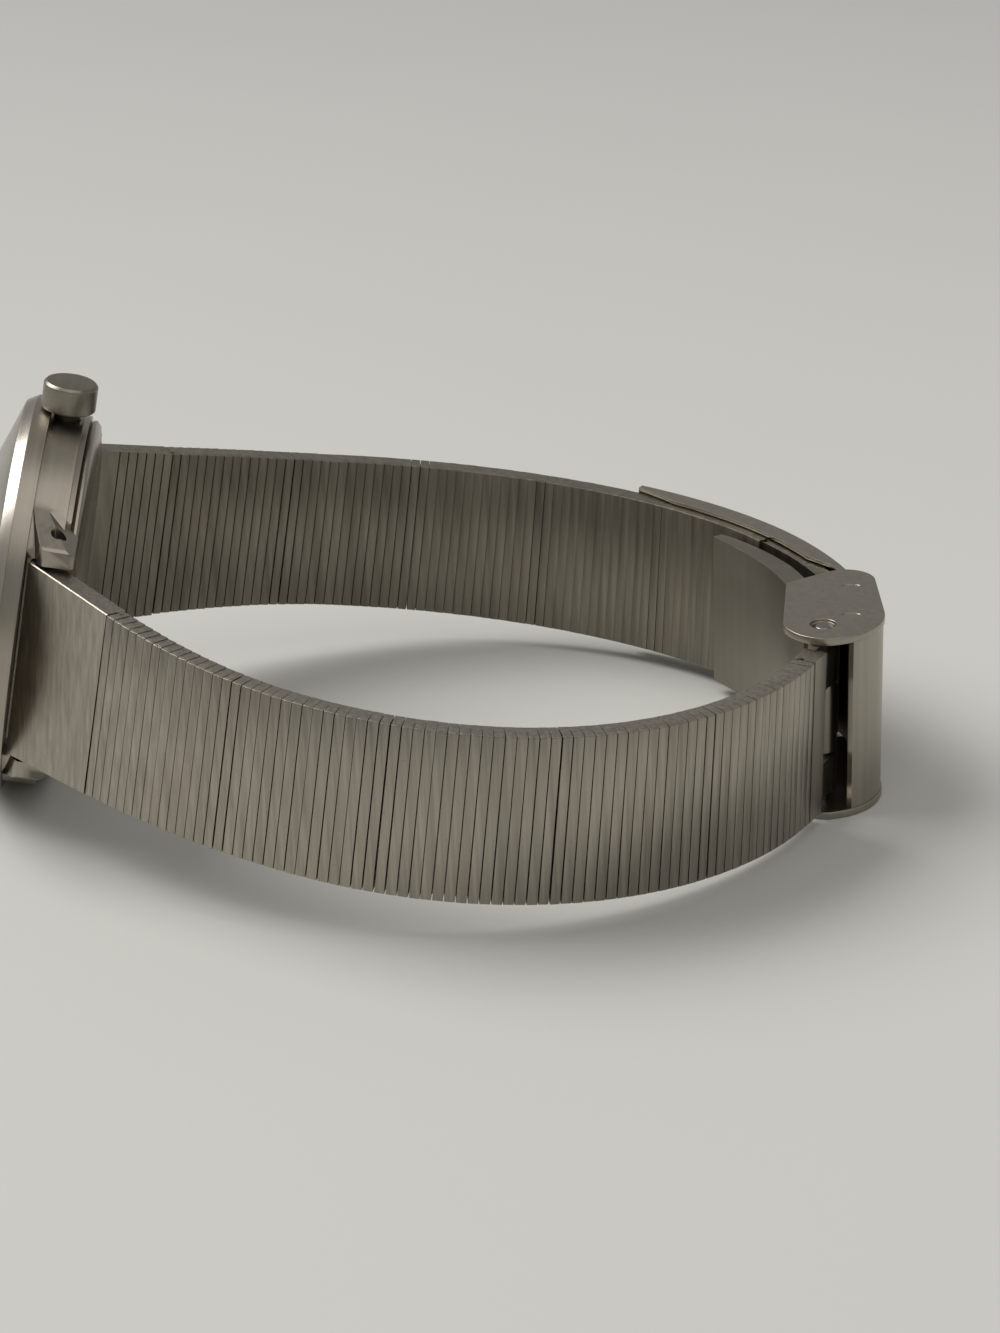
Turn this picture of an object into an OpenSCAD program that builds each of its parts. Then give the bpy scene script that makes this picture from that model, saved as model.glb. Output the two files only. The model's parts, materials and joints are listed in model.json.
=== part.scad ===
/* [Case] */
// Radius of the bezel and of the brushed band under it
bezel_r = 15.6; // [15.2:0.1:17]
// Radius of the polished side of the case, just inside the brushed band
panel_r = 15.0; // [14.8:0.05:15.1]
// Radius of the case back's polished rim
back_r = 14.2; // [13.9:0.1:14.6]
// Radius of the bore that holds the movement
bore_r = 10.7; // [10.65:0.05:10.8]
// Height of the side panel above the stem's plane
panel_top = 1.2; // [1.15:0.05:1.4]
// Height of the side panel below the stem's plane
panel_low = 1.35; // [1.2:0.05:1.45]
// Height of the brushed band
band_h = 1.3; // [1.3:0.05:1.5]
// Height of the bezel's polished chamfer
chamfer_h = 0.9; // [0.75:0.05:1.1]
// Height of the bezel's long dark slope
slope_h = 1.55; // [1.2:0.05:1.8]
// Height of the groove between the side panel and the case back
groove_h = 0.4; // [0.3:0.05:0.5]
// Height of the case back's rim
back_rim_h = 0.75; // [0.65:0.05:0.9]
// Radius of the crystal
crystal_r = 10.9; // [10.7:0.1:11.3]

/* [Lugs and bars] */
// Distance from the case's centre to the end of a lug
lug_reach = 13.9; // [13.5:0.1:14.4]
// Width of one lug along the bar
lug_w = 1.5; // [1.3:0.1:1.7]
// Distance from the case's centre to a spring bar
bar_reach = 12.15; // [12:0.05:12.3]
// Depth of a spring bar below the stem's plane
bar_drop = 1.0; // [0.9:0.05:1.1]
// Radius of a spring bar's tube
bar_r = 0.62; // [0.6:0.01:0.65]
// Radius of the drilled lug hole
lug_hole_r = 0.6; // [0.5:0.05:0.6]

/* [Crown] */
// Radius of the crown
crown_r = 2.1; // [1.8:0.1:2.3]
// Height of the crown along the stem
crown_h = 2.2; // [1.8:0.1:2.6]
// How far the crown pulls out to set the hands
crown_travel = 1.2; // [0.8:0.1:1.4]

/* [Bracelet] */
// Width of the band between the lugs
band_w_lug = 16.0; // [15.6:0.1:16.2]
// Width of the band at the clasp
band_w_clasp = 13.3; // [12.6:0.1:13.5]
// Length over which the band narrows from the lugs
taper_len = 24; // [18:1:30]
// Thickness of the band
band_t = 1.8; // [1.7:0.05:1.9]
// Length of the plain end piece at the case
end_len = 9.0; // [8:0.5:10]
// Length of one cross bar with its gap
link_pitch = 0.81; // [0.78:0.01:0.84]
// Gap between two cross bars
link_gap = 0.09; // [0.08:0.01:0.11]
// Cross bars in each of the band's flexing groups, 6 o'clock side
near_group = 15; // [15]
// Cross bars in each of the band's flexing groups, 12 o'clock side
far_group = 14; // [14]

/* [Resting curve] */
// Direction in which the 6 o'clock band leaves the case
near_start = -42.8; // [-44:0.1:-41]
// Direction of the 6 o'clock band at the clasp
near_end = 69.3; // [69:0.1:70]
// Turn of the case about its crown
case_yaw = 2.4; // [2:0.1:3]

/* [Clasp] */
// Height of the clasp over its two side plates
clasp_h = 15.1; // [15:0.1:15.6]
// Thickness of the clasp's side plates
plate_t = 0.6; // [0.5:0.05:0.65]
// Thickness of the clasp's cover
cover_t = 0.6; // [0.5:0.05:0.7]
// Thickness of the clasp's inner blade
blade_t = 0.55; // [0.45:0.05:0.6]
// Radius of the clasp's hinge pin
pin_r = 0.6; // [0.5:0.05:0.65]

/* [Movement] */
// Radius of the main plate
plate_r = 10.3; // [10.2:0.05:10.35]
// Length of the minute hand
minute_len = 8.6; // [8:0.1:9]
// Length of the hour hand
hour_len = 5.8; // [5:0.1:6.4]

/* [Hidden] */
$fn = 96;

steel = "silver";
dark_steel = "dimgray";
brass = "goldenrod";

// Running gap of parts that turn in each other, and the gap of parts that are only close
fit = 0.05;
slip = 0.02;
near = -1;
far = 1;

// Resting pose: the case leans on its bezel and the clasp stands on its lower side plate
case_to_clasp = 64;
lean_power = 1.35;
lean_share = case_to_clasp * lean_power / (1 + lean_power);
function rim_height(lean) = max(bezel_r * cos(lean) - panel_top * sin(lean),
    panel_r * cos(lean) + panel_low * sin(lean));
function settled_lean(lean, turns) = turns == 0 ? lean
    : settled_lean(atan((rim_height(lean) - clasp_h / 2) / lean_share), turns - 1);
case_lean = settled_lean(11, 4);
head_z = rim_height(case_lean);

function along(x) = max(0, min(1, x / case_to_clasp));
function lean_at(x) = atan(tan(case_lean) * (1 - pow(along(x), lean_power)));
function drop_at(x) = tan(case_lean) * (x < 0 ? x
    : case_to_clasp * (along(x) - pow(along(x), lean_power + 1) / (lean_power + 1)));
function height_at(x) = head_z - drop_at(x);

// Lengths along the band: where its cross bars end, the pin's place and the ladder's end
near_links_end = end_len + 5 * near_group * link_pitch;
far_links_end = end_len + 5 * far_group * link_pitch;
pin_reach = 5.45;
pin_s = near_links_end + pin_reach;
ladder_len = 10.8;
ladder_s = far_links_end + ladder_len;

// The band's rest curve: straight at the end piece, then turning ever faster towards the clasp
near_len = near_links_end + 3.25;
far_len = far_links_end + 10.3;
near_power = 1.3;
far_power = 1.24;
near_straight = end_len - 1.3;
far_straight = end_len;
function turned(s, straight, len, power) = pow(max(0, s - straight) / (len - straight), power);
function near_way(s) = near_start
    + (near_end - near_start) * turned(s, near_straight, near_len, near_power);
function far_way(s, from, to) = from + (to - from) * turned(s, far_straight, far_len, far_power);

// Unit directions of the band at a point: along it, and out of the loop
function ahead(x, turn) = [cos(turn) * cos(lean_at(x)), sin(turn)];
function outward(side, x, turn) = side * [-sin(turn) * cos(lean_at(x)), cos(turn)];

// Where the bar sits in the end piece, measured from the start of the band's middle line
bar_along = 0.6;
bar_inside = 1.1;
bar_x = bar_drop * cos(case_lean) * cos(case_yaw);
function bar_point(side) = [
    (bar_drop * cos(case_yaw) - side * bar_reach * sin(case_yaw)) * cos(case_lean),
    bar_drop * sin(case_yaw) + side * bar_reach * cos(case_yaw)];
function band_start(side, turn) = bar_point(side) - bar_along * ahead(0, turn)
    + bar_inside * outward(side, 0, turn);

// Follows a band from a place to a length, in steps of half a bar
half = link_pitch / 2;
function walk_near(s, p) = s > pin_s - half / 2 ? p + (pin_s - s) * ahead(p.x, near_way(s))
    : walk_near(s + half, p + half * ahead(p.x, near_way(s + half / 2)));
function walk_far(s, p, from, to) = s > ladder_s - half / 2
    ? p + (ladder_s - s) * ahead(p.x, far_way(s, from, to))
    : walk_far(s + half, p + half * ahead(p.x, far_way(s + half / 2, from, to)), from, to);

// The 12 o'clock band leaves the case and turns so that its ladder ends at its place beside the pin
ladder_place = [1.75, 10.7];
ladder_at = walk_near(0, band_start(near, near_way(0))) + ladder_place;
function miss(from, to) = walk_far(0, band_start(far, from), from, to) - ladder_at;
function closed(from, to, turns) = turns == 0 ? [from, to]
    : let (m = miss(from, to), a = miss(from + 1, to) - m, b = miss(from, to + 1) - m,
        det = a.x * b.y - b.x * a.y)
        closed(from - (m.x * b.y - b.x * m.y) / det, to - (a.x * m.y - m.x * a.y) / det, turns - 1);
far_turns = closed(28.4, -71.7, 4);
function heading(side, s) = side == near ? near_way(s) : far_way(s, far_turns[0], far_turns[1]);

// Places along the band, one every half bar, each [x, y]
trail_n = ceil(max(pin_s, ladder_s) / half) + 6;
function trail(side) = [for (i = 0, p = band_start(side, heading(side, 0)); i <= trail_n;
    p = p + half * ahead(p.x, heading(side, (i + 0.5) * half)), i = i + 1) p];
near_trail = trail(near);
far_trail = trail(far);
function track(side) = side == near ? near_trail : far_trail;
function place_at(side, s) = let (t = s / half, i = floor(t), f = t - i, k = track(side))
    k[i] * (1 - f) + k[i + 1] * f;

function band_w(s) = band_w_clasp
    + (band_w_lug - band_w_clasp) * pow(max(0, 1 - s / taper_len), 1.5);

pin_at = place_at(near, pin_s);

// The clasp's outline in plan, measured from its pin
clasp_right = 4.9;
near_at = [0.56, 0.6];
near_r = 3.6;
side_r = 5.22;
side_at = [clasp_right - side_r, 2.2];
far_r = 2.3;
far_at = [clasp_right - far_r, 8.8];
function arc(c, r, from, to, n) = [for (i = [0:n]) c + r * [cos(from + (to - from) * i / n),
    sin(from + (to - from) * i / n)]];
clasp_outline = concat(arc(near_at, near_r, 185, 268, 10), arc(side_at, side_r, 280, 360, 12),
    arc(far_at, far_r, 5, 88, 8), [[1.6, 10.85], [-1.85, 8.75], [-2.15, 8.4]]);

// The cover's middle line in plan: round the box from its near edge, then outside the far band
cover_off = band_t / 2 + 0.15 + cover_t / 2;
cover_join = ladder_s - 1;
cover_len = 24.5;
cover_tip = cover_join - cover_len;
cover_steps = 18;
cover_inset = cover_t / 2 + 0.1;
function far_cover(s) = let (p = place_at(far, s))
    p + cover_off * outward(far, p.x, heading(far, s));
wall_r = 4.6;
wall_y = 5;
cover_box = [for (q = concat(
    arc(side_at, side_r - cover_inset, 298, 357, 9),
    arc([clasp_right - wall_r, wall_y], wall_r - cover_inset, 3, 15, 2))) pin_at + q];
cover_back = [for (i = [0:cover_steps]) far_cover(cover_join - (cover_join - cover_tip) * i / cover_steps)];

// Heights of the watch head, measured from the stem's plane towards the dial
band_top = panel_top + band_h;
chamfer_top = band_top + chamfer_h;
bezel_top = chamfer_top + slope_h;
chamfer_r = bezel_r - 0.5;
bezel_lip_r = crystal_r + 0.1;
dial_bore_r = bore_r + 0.2;
dial_edge_r = bore_r - 0.3;
groove_low = -panel_low - groove_h;
back_low = groove_low - back_rim_h;
back_face = back_low - 0.3;
knuckle_r = 0.85;
notch_y = bar_reach - knuckle_r - 0.1;
crown_tube_r = 1.0;
crown_base = bezel_r + 0.15;
tube_out = 1.4;
notch_half = band_w_lug / 2 + 0.1;
dial_top = panel_top + 1.25;
dial_t = 0.4;
dial_low = dial_top - dial_t;
crystal_low = chamfer_top + 0.1;
crystal_top = bezel_top + 0.25;

// Heights inside the movement
plate_top = 1.35;
plate_low = -0.75;
train_low = -1.75;
bridge_low = groove_low - 0.4;
stem_r = 0.45;
stem_bore_r = stem_r + fit;
arbor_r = 0.22;

// Gear train: teeth of wheels and pinions with their modules
barrel_teeth = 72;
centre_pinion = 9;
barrel_m = 0.095;
centre_teeth = 64;
third_pinion = 8;
centre_m = 0.1;
third_teeth = 60;
fourth_pinion = 8;
third_m = 0.095;
fourth_teeth = 80;
escape_pinion = 8;
fourth_m = 0.066;
cannon_teeth = 12;
minute_teeth = 36;
minute_m = 0.1;
minute_pinion = 10;
hour_teeth = 40;
hour_m = minute_m * (cannon_teeth + minute_teeth) / (minute_pinion + hour_teeth);

// Directions from each arbor to the next, and the arbors' places in plan
barrel_way = 80;
third_way = 215;
fourth_way = 262;
escape_way = 335;
lever_way = 20;
minute_way = 60;
mesh_gap = 0.03;
function reach(m, a, b) = m * (a + b) / 2 + mesh_gap;
function toward(p, way, d) = p + d * [cos(way), sin(way)];
centre_at = [0, 0];
barrel_at = toward(centre_at, barrel_way, reach(barrel_m, barrel_teeth, centre_pinion));
third_at = toward(centre_at, third_way, reach(centre_m, centre_teeth, third_pinion));
fourth_at = toward(third_at, fourth_way, reach(third_m, third_teeth, fourth_pinion));
escape_at = toward(fourth_at, escape_way, reach(fourth_m, fourth_teeth, escape_pinion));
pallet_at = toward(escape_at, lever_way, 2.0);
balance_at = toward(pallet_at, lever_way, 2.3);
minute_at = toward(centre_at, minute_way, reach(minute_m, cannon_teeth, minute_teeth));

// Phase of a wheel that meshes with another in the given direction
function phase(turn, teeth, next_teeth, way) = way + 180 - (turn - way) * teeth / next_teeth
    - 180 / next_teeth;

loop_near_y = min([for (p = near_trail) p.y]) - band_t / 2;
loop_far_y = max([for (p = far_trail) p.y]) + band_t / 2;
head_left = -bezel_top * cos(case_lean) - crystal_r * sin(case_lean);
centre_x = (head_left + pin_at.x + clasp_right) / 2;
centre_y = (loop_near_y + loop_far_y) / 2;

module stand() {
    translate([-centre_x, -centre_y, 0]) children();
}

// Places a shape drawn dial up, crown along x and 12 o'clock along y, into the resting case
module in_head() {
    stand() translate([0, 0, head_z]) rotate([0, case_lean, 0]) rotate([0, 0, case_yaw])
        rotate([0, -90, 0]) children();
}

// Places a shape drawn along x with its outer face towards +y and its width along z
module on_band(side, s) {
    p = place_at(side, s);
    stand() translate([p.x, p.y, height_at(p.x)]) rotate([0, lean_at(p.x), 0])
        rotate([0, 0, heading(side, s)]) mirror([0, side == near ? 1 : 0, 0]) children();
}

module in_clasp() {
    stand() translate([pin_at.x, pin_at.y, 0]) children();
}

module tube(r, inner, low, high) {
    translate([0, 0, low]) difference() {
        cylinder(r = r, h = high - low);
        translate([0, 0, -1]) cylinder(r = inner, h = high - low + 2);
    }
}

module disc(r, low, high) {
    translate([0, 0, low]) cylinder(r = r, h = high - low);
}

// How deep joined shapes reach into each other
sunk = 0.02;
module band_notches(low, high) {
    for (side = [near, far])
        translate([-notch_half - sunk, side * (notch_y + 4) - 4, low])
            cube([2 * (notch_half + sunk), 8, high - low]);
}

// One lug: its side view, and its plan whose outer face slants from the case's flank to the tip
flank_x = 11.15;
flank_y = sqrt(pow(panel_r - 0.02, 2) - pow(flank_x, 2));
module lug() {
    tip_low = back_low + 0.1;
    tip_x = notch_half + lug_w;
    difference() {
        intersection() {
            translate([notch_half, 0, 0]) rotate([90, 0, 90]) linear_extrude(height = 4)
                polygon([[7.5, tip_low], [7.5, panel_top + sunk], [10.1, panel_top + sunk],
                    [lug_reach - 0.4, 0.25], [lug_reach, -0.1], [lug_reach, tip_low + 0.35],
                    [lug_reach - 0.3, tip_low]]);
            translate([0, 0, tip_low - 1]) linear_extrude(height = 6)
                polygon([[notch_half, 7.5], [flank_x, 7.5], [flank_x, flank_y],
                    [tip_x, lug_reach - 0.25], [tip_x - 0.25, lug_reach], [notch_half, lug_reach]]);
        }
        translate([flank_x - 0.14, flank_y + 0.16, -0.07]) rotate([0, 0, 6]) rotate([0, 33, 0])
            translate([0, -6, -6]) cube([4, 10, 6]);
    }
}

module lugs() {
    for (a = [0, 1], b = [0, 1]) mirror([a, 0, 0]) mirror([0, b, 0])
        lug();
}

module case_middle() {
    color(steel) in_head() difference() {
        union() {
            difference() {
                union() {
                    disc(panel_r, -panel_low, panel_top + sunk);
                    disc(panel_r - 0.5, groove_low, -panel_low + sunk);
                }
                band_notches(groove_low - 1, panel_top - 0.05);
            }
            disc(bezel_r, panel_top, band_top);
            difference() {
                lugs();
                disc(back_r + fit, back_low - 1, groove_low + sunk);
            }
        }
        disc(bore_r, groove_low - 1, dial_low + sunk);
        disc(dial_bore_r, dial_low, band_top + 1);
        translate([8, 0, 0]) rotate([0, 90, 0]) cylinder(r = crown_tube_r, h = 10);
        for (side = [near, far]) translate([-14, side * bar_reach, -bar_drop]) rotate([0, 90, 0])
            cylinder(r = lug_hole_r, h = 28);
    }
}

module crown_tube() {
    color(steel) in_head() rotate([0, 90, 0])
        tube(crown_tube_r, stem_bore_r, bore_r + 0.3, crown_base + tube_out);
}

module bezel() {
    color(steel) in_head() rotate_extrude() polygon([[dial_bore_r, band_top], [bezel_r, band_top],
        [chamfer_r, chamfer_top], [bezel_lip_r, bezel_top], [bezel_lip_r, crystal_low],
        [dial_edge_r, crystal_low], [dial_edge_r, dial_top], [dial_bore_r, dial_top]]);
}

crystal_dome_r = 90;
module crystal() {
    color("lightcyan", 0.4) in_head() {
        drop = crystal_dome_r - sqrt(pow(crystal_dome_r, 2) - pow(crystal_r - 0.15, 2));
        intersection() {
            disc(crystal_r - 0.15, crystal_low, crystal_top + 1);
            translate([0, 0, crystal_top + drop - crystal_dome_r]) sphere(r = crystal_dome_r, $fn = 200);
        }
    }
}

module crystal_gasket() {
    color("whitesmoke") in_head() tube(bezel_lip_r, crystal_r - 0.15, crystal_low, bezel_top - 0.1);
}

module dial() {
    color("gainsboro") in_head() difference() {
        disc(bore_r - 0.05, dial_low, dial_top);
        disc(1.25, dial_low - 1, dial_top + 1);
    }
}

marker_len = 1.8;
marker_w = 0.45;
module hour_markers() {
    color(dark_steel) in_head() for (i = [0:11]) rotate([0, 0, i * 30])
        translate([bore_r - 0.9 - marker_len, -marker_w / 2, dial_top])
            cube([marker_len, i % 3 == 0 ? marker_w * 1.6 : marker_w, 0.2]);
}

module case_back() {
    color(steel) in_head() difference() {
        union() {
            rotate_extrude() polygon([[0, back_face], [back_r - 2.2, back_face], [back_r - 0.35, back_low],
                [back_r, back_low + 0.3], [back_r, groove_low - 0.25], [back_r - 0.25, groove_low],
                [0, groove_low]]);
        }
        disc(bore_r - 0.4, back_face + 0.35, 0);
        band_notches(back_face - 1, 0);
    }
}

module case_back_gasket() {
    color("dimgray") in_head() tube(bore_r - 0.4, bore_r - 0.7, back_face + 0.35, groove_low - 0.5);
}

module movement_ring() {
    color("lightgray") in_head() difference() {
        tube(bore_r, plate_r, plate_low, dial_low);
        translate([8, 0, 0]) rotate([0, 90, 0]) cylinder(r = crown_tube_r + fit, h = 10);
    }
}

module at(p) {
    translate([p.x, p.y, 0]) children();
}

module arbor_hole(p, r) {
    at(p) translate([0, 0, -5]) cylinder(r = r, h = 10, $fn = 32);
}

lever_at = [5.2, 2.6];
module stem_way(r) {
    translate([3.4, 0, 0]) rotate([0, 90, 0]) cylinder(r = r, h = 12);
}

module main_plate() {
    color(brass) in_head() difference() {
        union() {
            disc(plate_r, plate_low, plate_top);
            tube(plate_r, plate_r - 0.5, plate_top - 0.1, dial_low);
        }
        stem_way(stem_bore_r);
        arbor_hole(centre_at, arbor_r + fit);
        for (p = [barrel_at, third_at, fourth_at, escape_at, pallet_at, balance_at, minute_at])
            arbor_hole(p, arbor_r + fit);
        translate([3.9, -1.05, -0.55]) cube([2.9, 4.6, plate_top + 1.55]);
    }
}

module bridge(points, r) {
    hull() for (p = points) at(p) disc(r, bridge_low, train_low);
}

module bridge_foot(p) {
    at(p) disc(0.6, train_low - 0.05, plate_low);
}

screw_r = 0.28;
barrel_feet = [[-5.6, 7.2], [3.4, 8.0]];
train_feet = [[-8.2, -3.6], [-2.6, -9.0]];
cock_feet = [[9.0, -3.2]];
module screw_holes(feet) {
    for (p = feet) arbor_hole(p, screw_r);
}

module barrel_bridge() {
    color(brass) in_head() difference() {
        union() {
            bridge([[-5.4, 6.6], [3.2, 7.3], [-0.2, 0.2]], 1.6);
            for (p = barrel_feet) bridge_foot(p);
        }
        arbor_hole(centre_at, arbor_r + fit);
        arbor_hole(barrel_at, arbor_r + fit);
        screw_holes(barrel_feet);
    }
}

module train_bridge() {
    color(brass) in_head() difference() {
        union() {
            bridge([third_at, [-7.8, -3.4], [-2.6, -8.6], escape_at], 0.8);
            for (p = train_feet) bridge_foot(p);
        }
        for (p = [third_at, fourth_at, escape_at]) arbor_hole(p, arbor_r + fit);
        screw_holes(train_feet);
    }
}

module balance_cock() {
    color(brass) in_head() difference() {
        union() {
            bridge([balance_at, [8.8, -3.2], pallet_at], 0.65);
            for (p = cock_feet) bridge_foot(p);
        }
        arbor_hole(balance_at, arbor_r + fit);
        arbor_hole(pallet_at, arbor_r + fit);
        screw_holes(cock_feet);
    }
}

module bridge_screws() {
    color("steelblue") in_head() for (p = concat(barrel_feet, train_feet, cock_feet)) at(p) {
        disc(screw_r, bridge_low - 0.05, plate_low);
        disc(0.5, bridge_low - 0.2, bridge_low);
    }
}

// A spring bar runs between the lugs, its tips in the drilled holes
module lug_spring_bars() {
    reach_x = notch_half + lug_w - 0.45;
    color(dark_steel) in_head() for (side = [near, far])
        translate([0, side * bar_reach, -bar_drop]) rotate([0, 90, 0]) {
            translate([0, 0, 0.3 - notch_half]) cylinder(r = bar_r, h = 2 * notch_half - 0.6);
            translate([0, 0, -reach_x]) cylinder(r = lug_hole_r, h = 2 * reach_x);
        }
}

// Stem, crown and the lever that carries them when the crown is pulled
stem_end = 3.6;
stem_top = crown_base + crown_h - 0.3;
groove_at = 5.1;
module winding_stem() {
    color(dark_steel) in_head() rotate([0, 90, 0]) difference() {
        translate([0, 0, stem_end]) cylinder(r = stem_r, h = stem_top - stem_end);
        tube(stem_r + 1, stem_r - 0.17, groove_at - 0.2, groove_at + 0.2);
    }
}

module setting_lever() {
    color(dark_steel) in_head() {
        translate([groove_at - 0.15, -stem_r - 0.35, -0.3]) difference() {
            cube([0.3, 3.6, 0.6]);
            translate([-1, 0.35 + stem_r, 0.3]) rotate([0, 90, 0])
                cylinder(r = stem_r - 0.17 + fit, h = 3);
            translate([-1, -1, 0.3 - (stem_r - 0.17 + fit)])
                cube([3, 1.35 + stem_r, 2 * (stem_r - 0.17 + fit)]);
        }
    }
}

module crown() {
    color(steel) in_head() rotate([0, 90, 0]) difference() {
        rotate_extrude() polygon([[0, crown_base], [crown_r - 0.12, crown_base],
            [crown_r, crown_base + 0.12], [crown_r, crown_base + crown_h - 0.2],
            [crown_r - 0.2, crown_base + crown_h], [0, crown_base + crown_h]]);
        translate([0, 0, crown_base - 1]) cylinder(r = crown_tube_r + 0.3, h = 1 + tube_out + 0.1);
        cylinder(r = stem_r, h = stem_top);
    }
}

module crown_gasket() {
    color("dimgray") in_head() rotate([0, 90, 0])
        tube(crown_tube_r + 0.3, crown_tube_r + fit, crown_base + 0.5, crown_base + 0.9);
}

// A spur wheel: straight flanked teeth on a disc, narrower than half the pitch so that they run free
module gear(m, teeth, turn, low, high) {
    root = m * (teeth / 2 - 1.2);
    tip = m * (teeth / 2 + 0.8);
    step = 360 / teeth;
    translate([0, 0, low]) linear_extrude(height = high - low) rotate(turn)
        polygon([for (i = [0:teeth - 1], q = [[root, -0.25], [tip, -0.09], [tip, 0.09], [root, 0.25]])
            q[0] * [cos((i + q[1]) * step), sin((i + q[1]) * step)]]);
}

module spokes_cut(r_in, r_out, n, low, high) {
    difference() {
        tube(r_out, r_in, low, high);
        for (i = [0:n - 1]) rotate([0, 0, i * 360 / n])
            translate([0, -0.22, low - 1]) cube([r_out + 1, 0.44, high - low + 2]);
    }
}

minute_z = [dial_top + 0.72, dial_top + 0.87];
hour_z = [dial_top + 0.35, dial_top + 0.5];
cannon_r = 0.45;
hour_pipe_r = 0.85;
motion_low = plate_top + 0.08;
motion_mid = motion_low + 0.22;
motion_top = dial_low - 0.03;

module hand(len, w, tail, z, hole) {
    difference() {
        union() {
            translate([0, 0, z[0]]) linear_extrude(height = z[1] - z[0])
                polygon([[-w / 2, 0], [-w / 2.6, -tail], [w / 2.6, -tail], [w / 2, 0], [w / 3, len - 0.4],
                    [0, len], [-w / 3, len - 0.4]]);
            disc(hole + 0.28, z[0], z[1]);
        }
        disc(hole, z[0] - 1, z[1] + 1);
    }
}

hand_minute_turn = -52;
hand_hour_turn = 55;
module minute_hand() {
    color(dark_steel) in_head() rotate([0, 0, hand_minute_turn - 90])
        hand(minute_len, 0.6, 1.6, minute_z, cannon_r);
}

module hour_hand() {
    color(dark_steel) in_head() rotate([0, 0, hand_hour_turn - 90])
        hand(hour_len, 0.8, 1.3, hour_z, hour_pipe_r);
}

module cannon_pinion() {
    color(dark_steel) in_head() difference() {
        union() {
            gear(minute_m, cannon_teeth, 0, motion_low, motion_mid + 0.3);
            disc(cannon_r, motion_low, minute_z[1] + 0.06);
        }
        disc(arbor_r + slip, motion_low - 1, minute_z[1] + 1);
    }
}

minute_turn = phase(0, cannon_teeth, minute_teeth, minute_way);
module minute_wheel() {
    color(brass) in_head() at(minute_at) {
        gear(minute_m, minute_teeth, minute_turn, motion_low, motion_low + 0.2);
        gear(hour_m, minute_pinion, 0, motion_low + 0.1, motion_top - 0.12);
        disc(arbor_r, plate_top - 0.9, motion_top - 0.12);
    }
}

hour_turn = phase(0, minute_pinion, hour_teeth, minute_way + 180);
module hour_wheel() {
    color(brass) in_head() difference() {
        union() {
            gear(hour_m, hour_teeth, hour_turn, motion_top - 0.3, motion_top - 0.1);
            disc(hour_pipe_r, motion_top - 0.3, hour_z[1]);
        }
        disc(minute_m * (cannon_teeth / 2 + 0.8) + 0.06, motion_low - 1, hour_z[1] + 1);
    }
}

barrel_low = plate_low - 0.6;
module mainspring_barrel() {
    color(brass) in_head() at(barrel_at) difference() {
        union() {
            gear(barrel_m, barrel_teeth, 0, level_c[0], level_c[1]);
            disc(barrel_m * barrel_teeth / 2 - 0.35, barrel_low, plate_low - 0.1);
            disc(arbor_r, bridge_low, plate_low + 0.9);
        }
        tube(2.7, 0.9, barrel_low - 1, barrel_low + 0.15);
    }
}

// The train's wheels lie in three levels, the first nearest to the case back
level_a = [plate_low - 0.9, plate_low - 0.75];
level_b = [plate_low - 0.65, plate_low - 0.5];
level_c = [plate_low - 0.35, plate_low - 0.15];
centre_pinion_turn = phase(0, barrel_teeth, centre_pinion, barrel_way + 180);
module train_arbor(r) {
    disc(r, bridge_low, plate_low + 0.9);
}

module train_wheel(m, teeth, level, hub_r, rim_r) {
    difference() {
        gear(m, teeth, 0, level[0], level[1]);
        spokes_cut(hub_r, rim_r, 4, level[0] - 1, level[1] + 1);
    }
}

module centre_wheel() {
    color(brass) in_head() {
        train_wheel(centre_m, centre_teeth, level_a, 0.9, 2.6);
        gear(barrel_m, centre_pinion, centre_pinion_turn, level_a[0], level_c[1]);
        disc(arbor_r, bridge_low, minute_z[0]);
    }
}

third_pinion_turn = phase(0, centre_teeth, third_pinion, third_way);
module third_wheel() {
    color(brass) in_head() at(third_at) {
        train_wheel(third_m, third_teeth, level_c, 0.8, 2.3);
        gear(centre_m, third_pinion, third_pinion_turn, level_a[0], level_c[1]);
        train_arbor(arbor_r);
    }
}

thin_r = arbor_r - 0.08;
fourth_pinion_turn = phase(0, third_teeth, fourth_pinion, fourth_way);
module fourth_wheel() {
    color(brass) in_head() at(fourth_at) {
        train_wheel(fourth_m, fourth_teeth, level_b, 0.7, 2.1);
        gear(third_m, fourth_pinion, fourth_pinion_turn, level_b[0], level_c[1]);
        train_arbor(thin_r);
    }
}

escape_r = 1.5;
escape_pinion_turn = phase(0, fourth_teeth, escape_pinion, escape_way);
module escape_wheel() {
    color(dark_steel) in_head() at(escape_at) {
        difference() {
            translate([0, 0, level_c[0]]) linear_extrude(height = level_c[1] - level_c[0])
                polygon([for (i = [0:14], q = [[escape_r - 0.25, 0], [escape_r, 12],
                    [escape_r - 0.28, 13]]) q[0] * [cos(i * 24 + q[1]), sin(i * 24 + q[1])]]);
            spokes_cut(0.5, 1.0, 4, level_c[0] - 1, level_c[1] + 1);
        }
        gear(fourth_m, escape_pinion, escape_pinion_turn, level_b[0], level_c[1]);
        train_arbor(thin_r);
    }
}

// The lever's arms end just outside the escape wheel's teeth
module pallet_fork() {
    arm = [[-0.42, 0.75], [-0.3, 0.85], [0.15, 0.2], [0.9, 0.12], [1.0, 0.26], [1.14, 0.26], [1.14, 0.1],
        [1.0, 0.06]];
    n = len(arm);
    color(dark_steel) in_head() at(pallet_at) {
        translate([0, 0, level_c[0]]) linear_extrude(height = level_c[1] - level_c[0])
            rotate(lever_way) polygon(concat(arm, [for (i = [n - 1:-1:0]) [arm[i].x, -arm[i].y]],
                [[-0.12, 0]]));
        train_arbor(thin_r);
    }
}

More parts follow.
